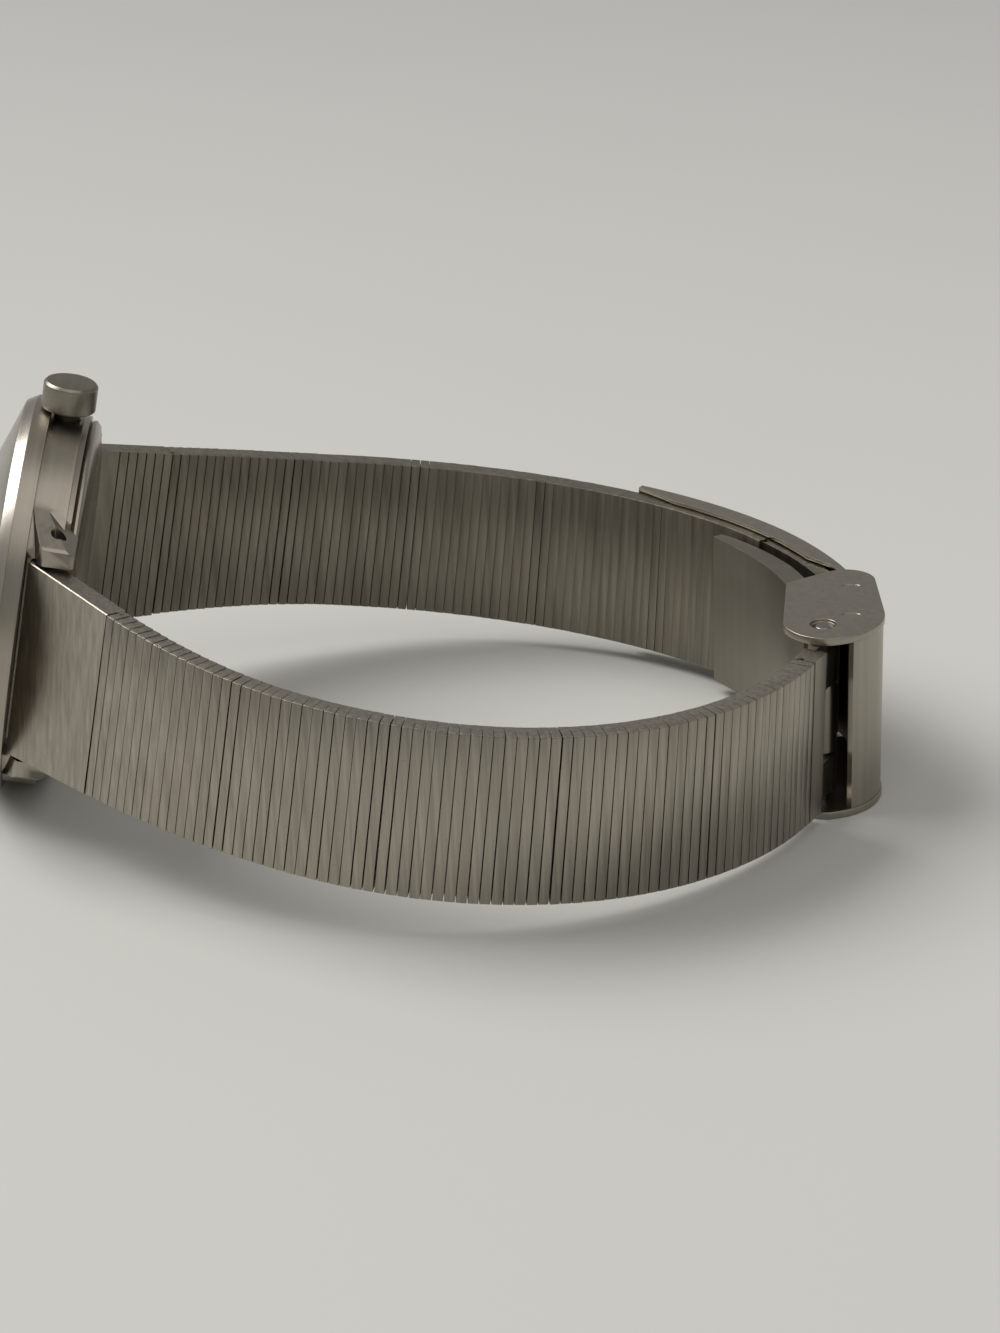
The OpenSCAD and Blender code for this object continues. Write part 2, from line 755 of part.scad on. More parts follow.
balance_r = 2.0;
module balance_wheel() {
    color(brass) in_head() at(balance_at) {
        difference() {
            disc(balance_r, level_a[0], level_a[1]);
            spokes_cut(0.5, balance_r - 0.35, 3, level_a[0] - 1, level_a[1] + 1);
        }
        disc(0.95, level_c[0], level_c[1]);
        train_arbor(thin_r);
    }
}

spring_turns = 4;
module hairspring() {
    n = 24 * spring_turns;
    color("steelblue") in_head() at(balance_at) translate([0, 0, level_a[0] - 0.08])
        linear_extrude(height = 0.06) polygon([for (k = [0, 1], j = [0:n])
            let (i = k == 0 ? j : n - j, r = thin_r + 0.9 * i / n + k * 0.06)
            r * [cos(i * 15), sin(i * 15)]]);
}

// One cross bar: rounded outer corners, a round tongue ahead and a round socket behind
tongue_x = link_pitch / 2 + 0.17;
tongue_y = -0.35;
tongue_r = 0.2;
socket_r = tongue_r + fit + 0.01;
neck_half = 0.11;
bar_len = link_pitch - link_gap;
bar_round = 0.14;
module tongue() {
    translate([tongue_x, tongue_y]) circle(r = tongue_r, $fn = 24);
    translate([0, tongue_y - neck_half]) square([tongue_x, 2 * neck_half]);
}

module socket() {
    translate([tongue_x - link_pitch, tongue_y]) circle(r = socket_r, $fn = 24);
}

module bar_profile() {
    difference() {
        union() {
            translate([-bar_len / 2, -band_t / 2]) square([bar_len, band_t - bar_round]);
            translate([-bar_len / 2 + bar_round, 0]) square([bar_len - 2 * bar_round, band_t / 2]);
            for (a = [-1, 1]) translate([a * (bar_len / 2 - bar_round), band_t / 2 - bar_round])
                circle(r = bar_round, $fn = 24);
        }
        socket();
    }
    tongue();
}

module cross_bar(side, i) {
    s = end_len + (i + 0.5) * link_pitch;
    on_band(side, s) translate([0, 0, -band_w(s) / 2]) linear_extrude(height = band_w(s))
        bar_profile();
}

module link_group(side, group, n) {
    color(steel) for (i = [0:n - 1]) cross_bar(side, (group - 1) * n + i);
}

// The end piece: a plain tapering plate with a tube for the spring bar and the first tongue. Its
// inner face is grooved like the cross bars, and its tube is notched
groove_from = 3.5;
groove_deep = 0.2;
module end_piece(side) {
    back = 0.75;
    mid = end_len - half;
    ease = 0.32;
    grooves = floor((end_len - groove_from) / link_pitch);
    color(steel) difference() {
        union() {
            difference() {
                on_band(side, 0) rotate([90, 0, 0]) translate([0, 0, -band_t / 2])
                    linear_extrude(height = band_t) polygon([[-back, -band_w_lug / 2],
                        [end_len + half, -band_w(end_len) / 2], [end_len + half, band_w(end_len) / 2],
                        [-back, band_w_lug / 2]]);
                on_band(side, mid) translate([half - link_gap / 2 - slip, -band_t, -band_w_lug])
                    cube([2 * link_pitch, 2 * band_t, 2 * band_w_lug]);
                on_band(side, 0) translate([-back, -band_t / 2, -band_w_lug]) rotate(45)
                    translate([-ease, -ease, 0]) cube([2 * ease, 2 * ease, 2 * band_w_lug]);
                on_band(side, 0) translate([0, 0, -band_w_lug]) linear_extrude(height = 2 * band_w_lug)
                    polygon([[-back - 1, -0.3], [-back, -0.3], [-0.1, band_t / 2], [-0.1, band_t],
                        [-back - 1, band_t]]);
                for (i = [0:grooves - 1]) on_band(side, end_len - (i + 1) * link_pitch)
                    translate([-link_gap / 2, -band_t, -band_w_lug])
                        cube([link_gap, band_t / 2 + groove_deep, 2 * band_w_lug]);
            }
            on_band(side, 0) translate([bar_along, -bar_inside, -band_w(1) / 2 + 0.1])
                cylinder(r = knuckle_r, h = band_w(1) - 0.2);
            on_band(side, mid) translate([0, 0, -band_w(mid) / 2]) linear_extrude(height = band_w(mid))
                tongue();
        }
        on_band(side, 0) translate([bar_along, -bar_inside, -band_w_lug])
            cylinder(r = bar_r + fit, h = 2 * band_w_lug);
        for (z = [-4.5, -2.1, 2.1, 4.5]) on_band(side, 0)
            translate([-1, -bar_inside - 1, z - 0.1]) cube([2.6, 1.2, 0.2]);
        for (z = [-6.4, 6.4]) on_band(side, 0)
            translate([0.4, -bar_inside - 1, z - 0.35]) cube([0.9, 1, 0.7]);
    }
}

module near_end_piece() {
    end_piece(near);
}

module far_end_piece() {
    end_piece(far);
}

// The last piece of the 6 o'clock band: a short plate whose knuckles turn on the clasp's pin
pin_knuckle_r = 1.15;
knuckle_w = 3.0;
knuckle_out = 4.6;
module near_clasp_end() {
    s0 = near_links_end;
    long = pin_reach - 0.6;
    color(steel) difference() {
        union() {
            on_band(near, s0) translate([link_gap / 2, -band_t / 2, -band_w(s0) / 2])
                cube([2.2, band_t, band_w(s0)]);
            for (k = [-1, 1]) on_band(near, s0) translate([1, -0.5, k * knuckle_out - knuckle_w / 2])
                cube([long - 1, 1.0, knuckle_w]);
            for (k = [-1, 1]) in_clasp() translate([0, 0, clasp_h / 2 + k * knuckle_out - knuckle_w / 2])
                cylinder(r = pin_knuckle_r, h = knuckle_w);
        }
        on_band(near, s0 + half) translate([0, 0, -band_w_lug]) linear_extrude(height = 2 * band_w_lug)
            socket();
        in_clasp() translate([0, 0, -1]) cylinder(r = pin_r + fit, h = clasp_h + 2);
    }
}

// The last piece of the 12 o'clock band: a slotted ladder plate that the blade's tooth holds
ladder_t = 1.3;
rung_pitch = 1.9;
ladder_steps = 9;
module far_ladder_end() {
    s0 = far_links_end;
    from = s0 + link_gap / 2;
    color(steel) difference() {
        stand() swept([for (i = [0:ladder_steps])
            let (s = from + (ladder_s - s0 - link_gap / 2) * i / ladder_steps, p = place_at(far, s))
            corners(p, -outward(far, p.x, heading(far, s)), ladder_t, band_w_clasp - 0.2,
                height_at(p.x), lean_at(p.x))], plate_caps);
        on_band(far, s0 + half) translate([0, 0, -band_w_lug]) linear_extrude(height = 2 * band_w_lug)
            socket();
        for (i = [0:3]) on_band(far, s0 + 2.4 + i * rung_pitch) translate([-0.5, -2, -3.5])
            cube([1.0, 4, 7]);
    }
}

// Shapes swept along points in plan: every ring is a list of corners [x, y, z]. A ring's section
// is given across the line (along n) and along the width; its caps are lists of quads
function ring(p, n, section, mid, lean) = [for (c = section)
    [p.x + c[0] * n.x + c[1] * sin(lean), p.y + c[0] * n.y, mid + c[1] * cos(lean)]];
function corners(p, n, t, w, mid, lean) = ring(p, n, [for (c = [[-1, -1], [1, -1], [1, 1], [-1, 1]])
    [c[0] * t / 2, c[1] * w / 2]], mid, lean);
plate_caps = [[0, 1, 2, 3]];

// A channel: a plate whose two long edges are folded over by a depth, to the side of sign
channel_caps = [[0, 1, 2, 3], [0, 3, 4, 7], [4, 5, 6, 7]];
function folded(t, w, deep, lip, sign) = let (a = t / 2, d = a + slip + deep, h = w / 2,
    c = [[-a, -h], [d, -h], [d, lip - h], [a, lip - h], [a, h - lip], [d, h - lip], [d, h], [-a, h]])
    sign > 0 ? c : [for (i = [7:-1:0]) [-c[i][0], c[i][1]]];

function side_of(line, i) = let (a = line[max(0, i - 1)], b = line[min(len(line) - 1, i + 1)],
    d = (b - a) / norm(b - a)) [d.y, -d.x];
module swept(rings, caps) {
    m = len(rings[0]);
    e = m * (len(rings) - 1);
    polyhedron(points = [for (r = rings, q = r) q], faces = concat(
        [for (c = caps, h = [0, 1]) h == 0 ? [c[3], c[2], c[1]] : [c[3], c[1], c[0]]],
        [for (c = caps, h = [0, 1]) h == 0 ? [e + c[0], e + c[1], e + c[2]]
            : [e + c[0], e + c[2], e + c[3]]],
        [for (i = [0:len(rings) - 2], j = [0:m - 1], h = [0, 1])
            let (a = m * i, b = m * i + m, k = (j + 1) % m)
            h == 0 ? [a + j, a + k, b + k] : [a + j, b + k, b + j]]));
}

cover_line = concat(cover_box, cover_back);
cover_w = clasp_h - 2 * plate_t;
tip_w = band_w_clasp + 0.75;
cover_lip = 0.25;
cover_fold = 1.0;
function share(x) = max(0, min(1, x));
module clasp_cover() {
    nb = len(cover_box);
    last = len(cover_line) - 1;
    color(steel) stand() swept([for (i = [0:last]) let (p = cover_line[i],
        k = max(0, i - nb - 1) / cover_steps)
        ring(p, side_of(cover_line, i), folded(cover_t, cover_w + (tip_w - cover_w) * min(1, 3 * k),
            cover_fold * share((i - nb - 1) / 2) * share((last - i) / 3), cover_lip, -1),
            i <= nb ? clasp_h / 2 : height_at(p.x), i <= nb ? 0 : lean_at(p.x))], channel_caps);
}

module clasp_side_plates() {
    color(steel) in_clasp() for (low = [0, clasp_h - plate_t]) translate([0, 0, low]) difference() {
        linear_extrude(height = plate_t) polygon(clasp_outline);
        translate([0, 0, -1]) cylinder(r = pin_r, h = plate_t + 2);
        translate([0, 0, low == 0 ? -1 : plate_t - 0.25]) cylinder(r = pin_r + 0.4, h = 1.25);
    }
}

module clasp_pin() {
    color(dark_steel) in_clasp() translate([0, 0, 0.15]) cylinder(r = pin_r, h = clasp_h - 0.3);
}

// The inner blade: a channel hinged on the pin between the band's knuckles, inside the far band
blade_len = 23.3;
blade_steps = 16;
blade_step = blade_len / blade_steps;
function blade_heading(s) = 93 + 31 * pow(max(0, s - 9) / 14, 0.6);
function blade_ahead(s) = [cos(blade_heading(s)), sin(blade_heading(s))];
blade_line = [for (i = 0, p = pin_at + [blade_t / 2 - pin_knuckle_r, 0]; i <= blade_steps;
    p = p + blade_step * blade_ahead((i + 0.5) * blade_step), i = i + 1) p];
blade_room = 0.5;
blade_w = cover_w - 2 * blade_room;
blade_lip = 0.5;
blade_fold = 1.25;
blade_knuckle_w = 5.6;
module clasp_blade() {
    root = blade_knuckle_w / 2;
    color(steel) difference() {
        union() {
            stand() swept([for (i = [0:blade_steps]) let (s = i * blade_step)
                ring(blade_line[i], side_of(blade_line, i), folded(blade_t, blade_w,
                    blade_fold * share((s - 3) / 4) * sqrt(share((blade_len + 0.3 - s) / 9)),
                    blade_lip, 1), clasp_h / 2, 0)], channel_caps);
            in_clasp() translate([0, 0, clasp_h / 2 - root])
                cylinder(r = pin_knuckle_r, h = blade_knuckle_w);
            in_clasp() translate([-1.4, 8.6, clasp_h / 2 - 2.5]) cube([2.2, 0.6, 5]);
        }
        for (k = [0, 1]) in_clasp() translate([0, 0, clasp_h / 2]) mirror([0, 0, k])
            translate([-3, -2, root]) cube([6, 4.2, 5]);
        in_clasp() translate([0, 0, -1]) cylinder(r = pin_r + fit, h = clasp_h + 2);
    }
}

module near_links_1() { link_group(near, 1, near_group); }
module near_links_2() { link_group(near, 2, near_group); }
module near_links_3() { link_group(near, 3, near_group); }
module near_links_4() { link_group(near, 4, near_group); }
module near_links_5() { link_group(near, 5, near_group); }
module far_links_1() { link_group(far, 1, far_group); }
module far_links_2() { link_group(far, 2, far_group); }
module far_links_3() { link_group(far, 3, far_group); }
module far_links_4() { link_group(far, 4, far_group); }
module far_links_5() { link_group(far, 5, far_group); }

case_middle();
bezel();
crystal();
crystal_gasket();
dial();
hour_markers();
case_back();
case_back_gasket();
movement_ring();
crown_tube();
main_plate();
barrel_bridge();
train_bridge();
balance_cock();
bridge_screws();
lug_spring_bars();
setting_lever();
crown();
crown_gasket();
winding_stem();
minute_hand();
cannon_pinion();
hour_hand();
hour_wheel();
minute_wheel();
mainspring_barrel();
centre_wheel();
third_wheel();
fourth_wheel();
escape_wheel();
pallet_fork();
balance_wheel();
hairspring();
near_end_piece();
near_links_1();
near_links_2();
near_links_3();
near_links_4();
near_links_5();
near_clasp_end();
far_end_piece();
far_links_1();
far_links_2();
far_links_3();
far_links_4();
far_links_5();
far_ladder_end();
clasp_cover();
clasp_side_plates();
clasp_pin();
clasp_blade();
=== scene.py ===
"""Looks of the standing steel wristwatch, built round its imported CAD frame.

Every visible piece stands where its CAD node stands. Lengths inside the classes are in
millimetres, and the meshes are made in metres. The band's course and the case's pose repeat
the rule that the CAD source uses, because the script reads only the frame.
"""

from __future__ import annotations

import json
import logging
import math
from dataclasses import dataclass
from enum import Enum
from functools import cache
from typing import Callable, Iterable, Sequence

import bmesh
import bpy
from mathutils import Matrix, Vector

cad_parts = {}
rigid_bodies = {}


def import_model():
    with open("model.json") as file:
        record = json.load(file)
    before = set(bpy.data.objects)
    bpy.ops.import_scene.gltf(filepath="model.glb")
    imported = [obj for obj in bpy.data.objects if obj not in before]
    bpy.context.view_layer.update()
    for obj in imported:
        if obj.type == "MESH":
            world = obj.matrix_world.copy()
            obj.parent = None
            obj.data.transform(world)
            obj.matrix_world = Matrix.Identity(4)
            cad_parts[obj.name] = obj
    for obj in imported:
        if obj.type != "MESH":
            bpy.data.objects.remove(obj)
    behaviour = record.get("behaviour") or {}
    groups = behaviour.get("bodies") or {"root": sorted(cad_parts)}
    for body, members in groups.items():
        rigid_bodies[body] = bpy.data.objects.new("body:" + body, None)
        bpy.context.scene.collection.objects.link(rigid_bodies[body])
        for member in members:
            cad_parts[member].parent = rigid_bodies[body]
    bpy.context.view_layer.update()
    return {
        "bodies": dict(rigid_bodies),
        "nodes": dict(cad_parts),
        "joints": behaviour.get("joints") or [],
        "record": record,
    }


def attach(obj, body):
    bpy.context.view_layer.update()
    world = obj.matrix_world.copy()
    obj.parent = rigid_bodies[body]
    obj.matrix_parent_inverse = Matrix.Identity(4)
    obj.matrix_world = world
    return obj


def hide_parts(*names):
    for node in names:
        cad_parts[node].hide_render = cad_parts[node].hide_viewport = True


LOG = logging.getLogger("wristwatch")
MM = 0.001
Point2 = tuple[float, float]
Triple = tuple[float, float, float]


class Side(Enum):
    """The band's two halves; the value is the sign of their outer side along y."""

    NEAR = -1
    FAR = 1


class Lines(Enum):
    """Which way a finish's fine lines run; the value stretches the noise along each axis."""

    UPRIGHT = (14000.0, 14000.0, 240.0)
    ROUND_CASE = (2.2, 14.0, 14.0)
    RADIAL_DIAL = (14.0, 14.0, 0.35)
    NONE = (3000.0, 3000.0, 3000.0)


@dataclass(frozen=True)
class Stance:
    """How the watch stands: the case leans on its bezel, the clasp on its side plate."""

    bezel_r: float = 15.6
    panel_top: float = 1.2
    clasp_h: float = 15.1
    reach: float = 64.0
    power: float = 1.35
    yaw: float = math.radians(2.4)
    centre: Point2 = (29.2445, -3.16295)
    first_lean: float = math.radians(11)
    rounds: int = 4

    def rim_height(self, lean: float) -> float:
        """Return the stem's height over the table when the bezel touches it."""
        return self.bezel_r * math.cos(lean) - self.panel_top * math.sin(lean)

    @property
    def lean(self) -> float:
        """Find the case's lean as the CAD source finds it.

        Returns:
            The lean in radians.
        """
        share = self.reach * self.power / (1 + self.power)
        lean = self.first_lean
        for _ in range(self.rounds):
            lean = math.atan((self.rim_height(lean) - self.clasp_h / 2) / share)
        return lean

    def along(self, x: float) -> float:
        """Return how far x lies from case to clasp, from 0 to 1."""
        return max(0.0, min(1.0, x / self.reach))

    def lean_at(self, x: float) -> float:
        """Return the band's lean at x, in radians."""
        return math.atan(math.tan(self.lean) * (1 - self.along(x) ** self.power))

    def height_at(self, x: float) -> float:
        """Find how high the band's middle stands over the table.

        Args:
            x: Distance from the stem towards the clasp.

        Returns:
            The height.
        """
        a, p = self.along(x), self.power
        drop = x if x < 0 else self.reach * (a - a ** (p + 1) / (p + 1))
        return self.rim_height(self.lean) - math.tan(self.lean) * drop

    def head_matrix(self) -> Matrix:
        """Place the case's own frame, dial up and crown along +x, in the part.

        Returns:
            The placement, in metres.
        """
        place = Matrix.Translation((-self.centre[0], -self.centre[1], self.rim_height(self.lean)))
        turn = (Matrix.Rotation(self.lean, 4, "Y") @ Matrix.Rotation(self.yaw, 4, "Z")
                @ Matrix.Rotation(-math.pi / 2, 4, "Y"))
        return Matrix.Scale(MM, 4) @ place @ turn


@dataclass(frozen=True)
class Course:
    """The resting curve of one half of the band, with its headings in degrees, and its look."""

    side: Side
    start: float
    end: float
    straight: float
    length: float
    power: float
    links_per_group: int
    finish: str
    gaps: tuple[float, ...]
    slide_play: float
    stance: Stance = Stance()
    pitch: float = 0.81
    end_len: float = 9.0
    bar_drop: float = 1.0
    bar_reach: float = 12.15
    bar_along: float = 0.6
    bar_inside: float = 1.1
    w_lug: float = 16.0
    w_clasp: float = 13.3
    taper: float = 24.0
    taper_power: float = 1.5

    @property
    def name(self) -> str:
        """Return the side's name as the CAD nodes spell it."""
        return self.side.name.lower()

    def heading(self, s: float) -> float:
        """Return the band's direction at distance s, in radians."""
        t = max(0.0, s - self.straight) / (self.length - self.straight)
        return math.radians(self.start + (self.end - self.start) * t**self.power)

    def ahead(self, x: float, turn: float) -> Vector:
        """Return the unit step along the band in plan."""
        return Vector((math.cos(turn) * math.cos(self.stance.lean_at(x)), math.sin(turn)))

    def outward(self, x: float, turn: float) -> Vector:
        """Return the unit step out of the loop in plan."""
        step = Vector((-math.sin(turn) * math.cos(self.stance.lean_at(x)), math.cos(turn)))
        return step * self.side.value

    def trail(self, count: int = 200) -> list[Vector]:
        """Follow the band in plan from its spring bar.

        Args:
            count: How many half links to follow.

        Returns:
            Plan points, one every half link.
        """
        st, sign = self.stance, self.side.value
        yaw = st.yaw
        bar = Vector((
            (self.bar_drop * math.cos(yaw) - sign * self.bar_reach * math.sin(yaw))
            * math.cos(st.lean),
            self.bar_drop * math.sin(yaw) + sign * self.bar_reach * math.cos(yaw),
        ))
        turn = self.heading(0)
        point = bar - self.bar_along * self.ahead(0, turn) + self.bar_inside * self.outward(0, turn)
        half = self.pitch / 2
        out = [point]
        for i in range(count):
            point = point + half * self.ahead(point.x, self.heading((i + 0.5) * half))
            out.append(point)
        return out

    def spot(self, trail: Sequence[Vector], s: float) -> Vector:
        """Find the plan point at a distance along the band.

        Args:
            trail: The course's plan points.
            s: Distance along the band.

        Returns:
            The point, measured from the stem.
        """
        t = s / (self.pitch / 2)
        i = int(t)
        return trail[i].lerp(trail[i + 1], t - i)

    def width(self, s: float) -> float:
        """Return the band's width at distance s."""
        grow = max(0.0, 1 - s / self.taper) ** self.taper_power
        return self.w_clasp + (self.w_lug - self.w_clasp) * grow

    def matrix(self, trail: Sequence[Vector], s: float) -> Matrix:
        """Place a cross bar's own frame: x along the band, y outward, z across it.

        Args:
            trail: The course's plan points.
            s: Distance along the band.

        Returns:
            The placement in the part's frame, in metres.
        """
        p = self.spot(trail, s)
        c = self.stance.centre
        place = Matrix.Translation((p.x - c[0], p.y - c[1], self.stance.height_at(p.x)))
        turn = (Matrix.Rotation(self.stance.lean_at(p.x), 4, "Y")
                @ Matrix.Rotation(self.heading(s), 4, "Z"))
        if self.side is Side.NEAR:
            turn = turn @ Matrix.Rotation(math.pi, 4, "X")
        return Matrix.Scale(MM, 4) @ place @ turn


GROUPS = 5
STANCE = Stance()
HEAD = STANCE.head_matrix()
NEAR = Course(Side.NEAR, start=-42.8, end=69.3, straight=7.7, length=73, power=1.3,
              links_per_group=15, finish="link_steel",
              gaps=(0.034, 0.044, 0.046, 0.044, 0.034), slide_play=0.015)
# The far half takes the darker link steel: painted shade on the inside of the loop.
FAR = Course(Side.FAR, start=29.082, end=-73.781, straight=9.0, length=76, power=1.24,
             links_per_group=14, finish="painted_shade_link_steel",
             gaps=(0.022, 0.02, 0.014, 0.010, 0.008), slide_play=0.003)


class Tree:
    """A thin builder over a node tree that makes nodes and joins their sockets."""

    def __init__(self, tree: bpy.types.NodeTree) -> None:
        """Keep the tree that nodes are added to."""
        self.tree = tree

    def feed(self, sockets: object, values: dict) -> None:
        """Join or set several inputs.

        Args:
            sockets: The inputs, found by name or index.
            values: Input name or index to a socket to join, or a plain value to set.
        """
        for key, value in values.items():
            if isinstance(value, bpy.types.NodeSocket):
                self.tree.links.new(value, sockets[key])
            else:
                sockets[key].default_value = value

    def node(self, kind: str, values: dict | None = None, **settings: object) -> bpy.types.Node:
        """Add a node.

        Args:
            kind: The node's type name.
            values: What its inputs are joined or set to.
            **settings: Attributes set on the node.

        Returns:
            The new node.
        """
        made = self.tree.nodes.new(kind)
        for key, value in settings.items():
            setattr(made, key, value)
        self.feed(made.inputs, values or {})
        return made

    def math(self, operation: str, *values: object) -> bpy.types.NodeSocket:
        """Add a Math node and return its result."""
        return self.node("ShaderNodeMath", dict(enumerate(values)), operation=operation).outputs[0]

    def vector(self, operation: str, *values: object) -> bpy.types.Node:
        """Add a Vector Math node and return it."""
        return self.node("ShaderNodeVectorMath", dict(enumerate(values)), operation=operation)

    def scaled(self, vector: bpy.types.NodeSocket, scale: object) -> bpy.types.NodeSocket:
        """Add a node that scales a vector and return its result."""
        return self.node("ShaderNodeVectorMath", {0: vector, "Scale": scale},
                         operation="SCALE").outputs[0]

    def combined(self, x: object, y: object, z: object) -> bpy.types.NodeSocket:
        """Add a Combine XYZ node and return its vector."""
        return self.node("ShaderNodeCombineXYZ", {0: x, 1: y, 2: z}).outputs[0]

    def remap(self, value: object, low: float, high: float, to_low: float = 0.0,
              to_high: float = 1.0) -> bpy.types.NodeSocket:
        """Add a Map Range node and return its result."""
        return self.node("ShaderNodeMapRange", {
            "Value": value, "From Min": low, "From Max": high, "To Min": to_low, "To Max": to_high,
        }).outputs["Result"]

    def mix(self, factor: object, a: object, b: object) -> bpy.types.NodeSocket:
        """Add a colour Mix node and return its result."""
        return self.node("ShaderNodeMix", {0: factor, 6: a, 7: b}, data_type="RGBA").outputs[2]

    def noise(self, vector: object, scale: float, detail: float = 2.0,
              rough: float = 0.5) -> bpy.types.NodeSocket:
        """Add a Noise Texture and return its value."""
        return self.node("ShaderNodeTexNoise", {
            "Vector": vector, "Scale": scale, "Detail": detail, "Roughness": rough,
        }).outputs["Fac"]


class Groups:
    """The shader node groups that several finishes share, each built once."""

    @staticmethod
    def new(name: str, inputs: Iterable[str], outputs: Iterable[str]) -> tuple:
        """Start a shader node group, whose sockets are floats unless their name says vector.

        Args:
            name: The group's name.
            inputs: Names of its inputs.
            outputs: Names of its outputs.

        Returns:
            The group, its builder, its input node's sockets and its output node's sockets.
        """
        group = bpy.data.node_groups.new(name, "ShaderNodeTree")
        for way, labels in (("INPUT", inputs), ("OUTPUT", outputs)):
            for label in labels:
                kind = "NodeSocketVector" if "vector" in label.lower() else "NodeSocketFloat"
                group.interface.new_socket(label, in_out=way, socket_type=kind)
        tree = Tree(group)
        return (group, tree, tree.node("NodeGroupInput").outputs,
                tree.node("NodeGroupOutput").inputs)

    @staticmethod
    @cache
    def case_coordinates() -> bpy.types.NodeTree:
        """Build the group that gives a place on the case from the inverse of its placement.

        Returns:
            The group: the angle round the case, the distance from its axis and along it, and
            a vector that wraps round it without a seam.
        """
        group, t, inp, out = Groups.new(
            "Case coordinates", ("Vector",), ("Round", "Radius", "Along", "Wrapped vector"))
        inverse = HEAD.inverted()
        wrap_r = 10.0
        rows = []
        for r in range(3):
            dot = t.vector("DOT_PRODUCT", inp[0], tuple(inverse[r][:3])).outputs["Value"]
            rows.append(t.math("ADD", dot, inverse[r][3]))
        x, y, along = rows
        radius = t.vector("LENGTH", t.combined(x, y, 0.0)).outputs["Value"]
        angle = t.math("ARCTAN2", y, x)
        wrapped = t.combined(t.math("MULTIPLY", t.math("COSINE", angle), wrap_r),
                             t.math("MULTIPLY", t.math("SINE", angle), wrap_r), radius)
        t.feed(out, {"Round": angle, "Radius": radius, "Along": along, "Wrapped vector": wrapped})
        return group

    @staticmethod
    @cache
    def brushed() -> bpy.types.NodeTree:
        """Build the group of fine parallel brush lines from one stretched vector.

        Returns:
            The group: the lines' height, and their broad changes of tone.
        """
        group, t, inp, out = Groups.new("Brush lines", ("Vector", "Fineness"), ("Height", "Tone"))
        vector = t.scaled(inp["Vector"], inp["Fineness"])
        fine = t.noise(vector, scale=1.0, detail=3.0, rough=0.65)
        coarse = t.noise(vector, scale=0.22)
        t.feed(out, {"Height": t.math("MULTIPLY_ADD", coarse, 0.6, fine), "Tone": coarse})
        return group

    @staticmethod
    @cache
    def handling() -> bpy.types.NodeTree:
        """Build the group of finger smudges, hairline scratches and dust.

        Returns:
            The group, with three masks from coordinates in millimetres.
        """
        group, t, inp, out = Groups.new(
            "Handling marks", ("Vector",), ("Smudge", "Scratch", "Speck"))
        spot = inp["Vector"]
        bent = t.vector("ADD", spot, t.noise(spot, scale=0.5, detail=1.0)).outputs[0]
        cells = t.node("ShaderNodeTexVoronoi", {"Vector": bent, "Scale": 0.55},
                       feature="DISTANCE_TO_EDGE").outputs["Distance"]
        line = t.remap(cells, 0.0, 0.012, 1.0, 0.0)
        gate = t.remap(t.noise(spot, scale=0.9, detail=1.0), 0.55, 0.7)
        t.feed(out, {
            "Smudge": t.remap(t.noise(spot, scale=0.16, detail=4.0, rough=0.6), 0.35, 0.72),
            "Scratch": t.math("MULTIPLY", line, gate),
            "Speck": t.remap(t.noise(spot, scale=7.0, detail=1.0), 0.72, 0.8),
        })
        return group


def new_material(name: str) -> tuple:
    """Start a material with a principled shader.

    Args:
        name: The material's name.

    Returns:
        The material, its builder, its shader's inputs and the object coordinates.
    """
    material = bpy.data.materials.new(name)
    material.use_nodes = True
    t = Tree(material.node_tree)
    shader = material.node_tree.nodes["Principled BSDF"].inputs
    return material, t, shader, t.node("ShaderNodeTexCoord").outputs["Object"]


def tinted(colour: Triple, tint: float | Triple) -> tuple[float, float, float, float]:
    """Scale a colour.

    Args:
        colour: Red, green and blue.
        tint: One factor, or one for each of the three.

    Returns:
        The scaled colour, at most 1 in each channel, with full alpha.
    """
    factors = (tint,) * 3 if isinstance(tint, float) else tint
    return tuple(min(1.0, c * f) for c, f in zip(colour, factors)) + (1.0,)


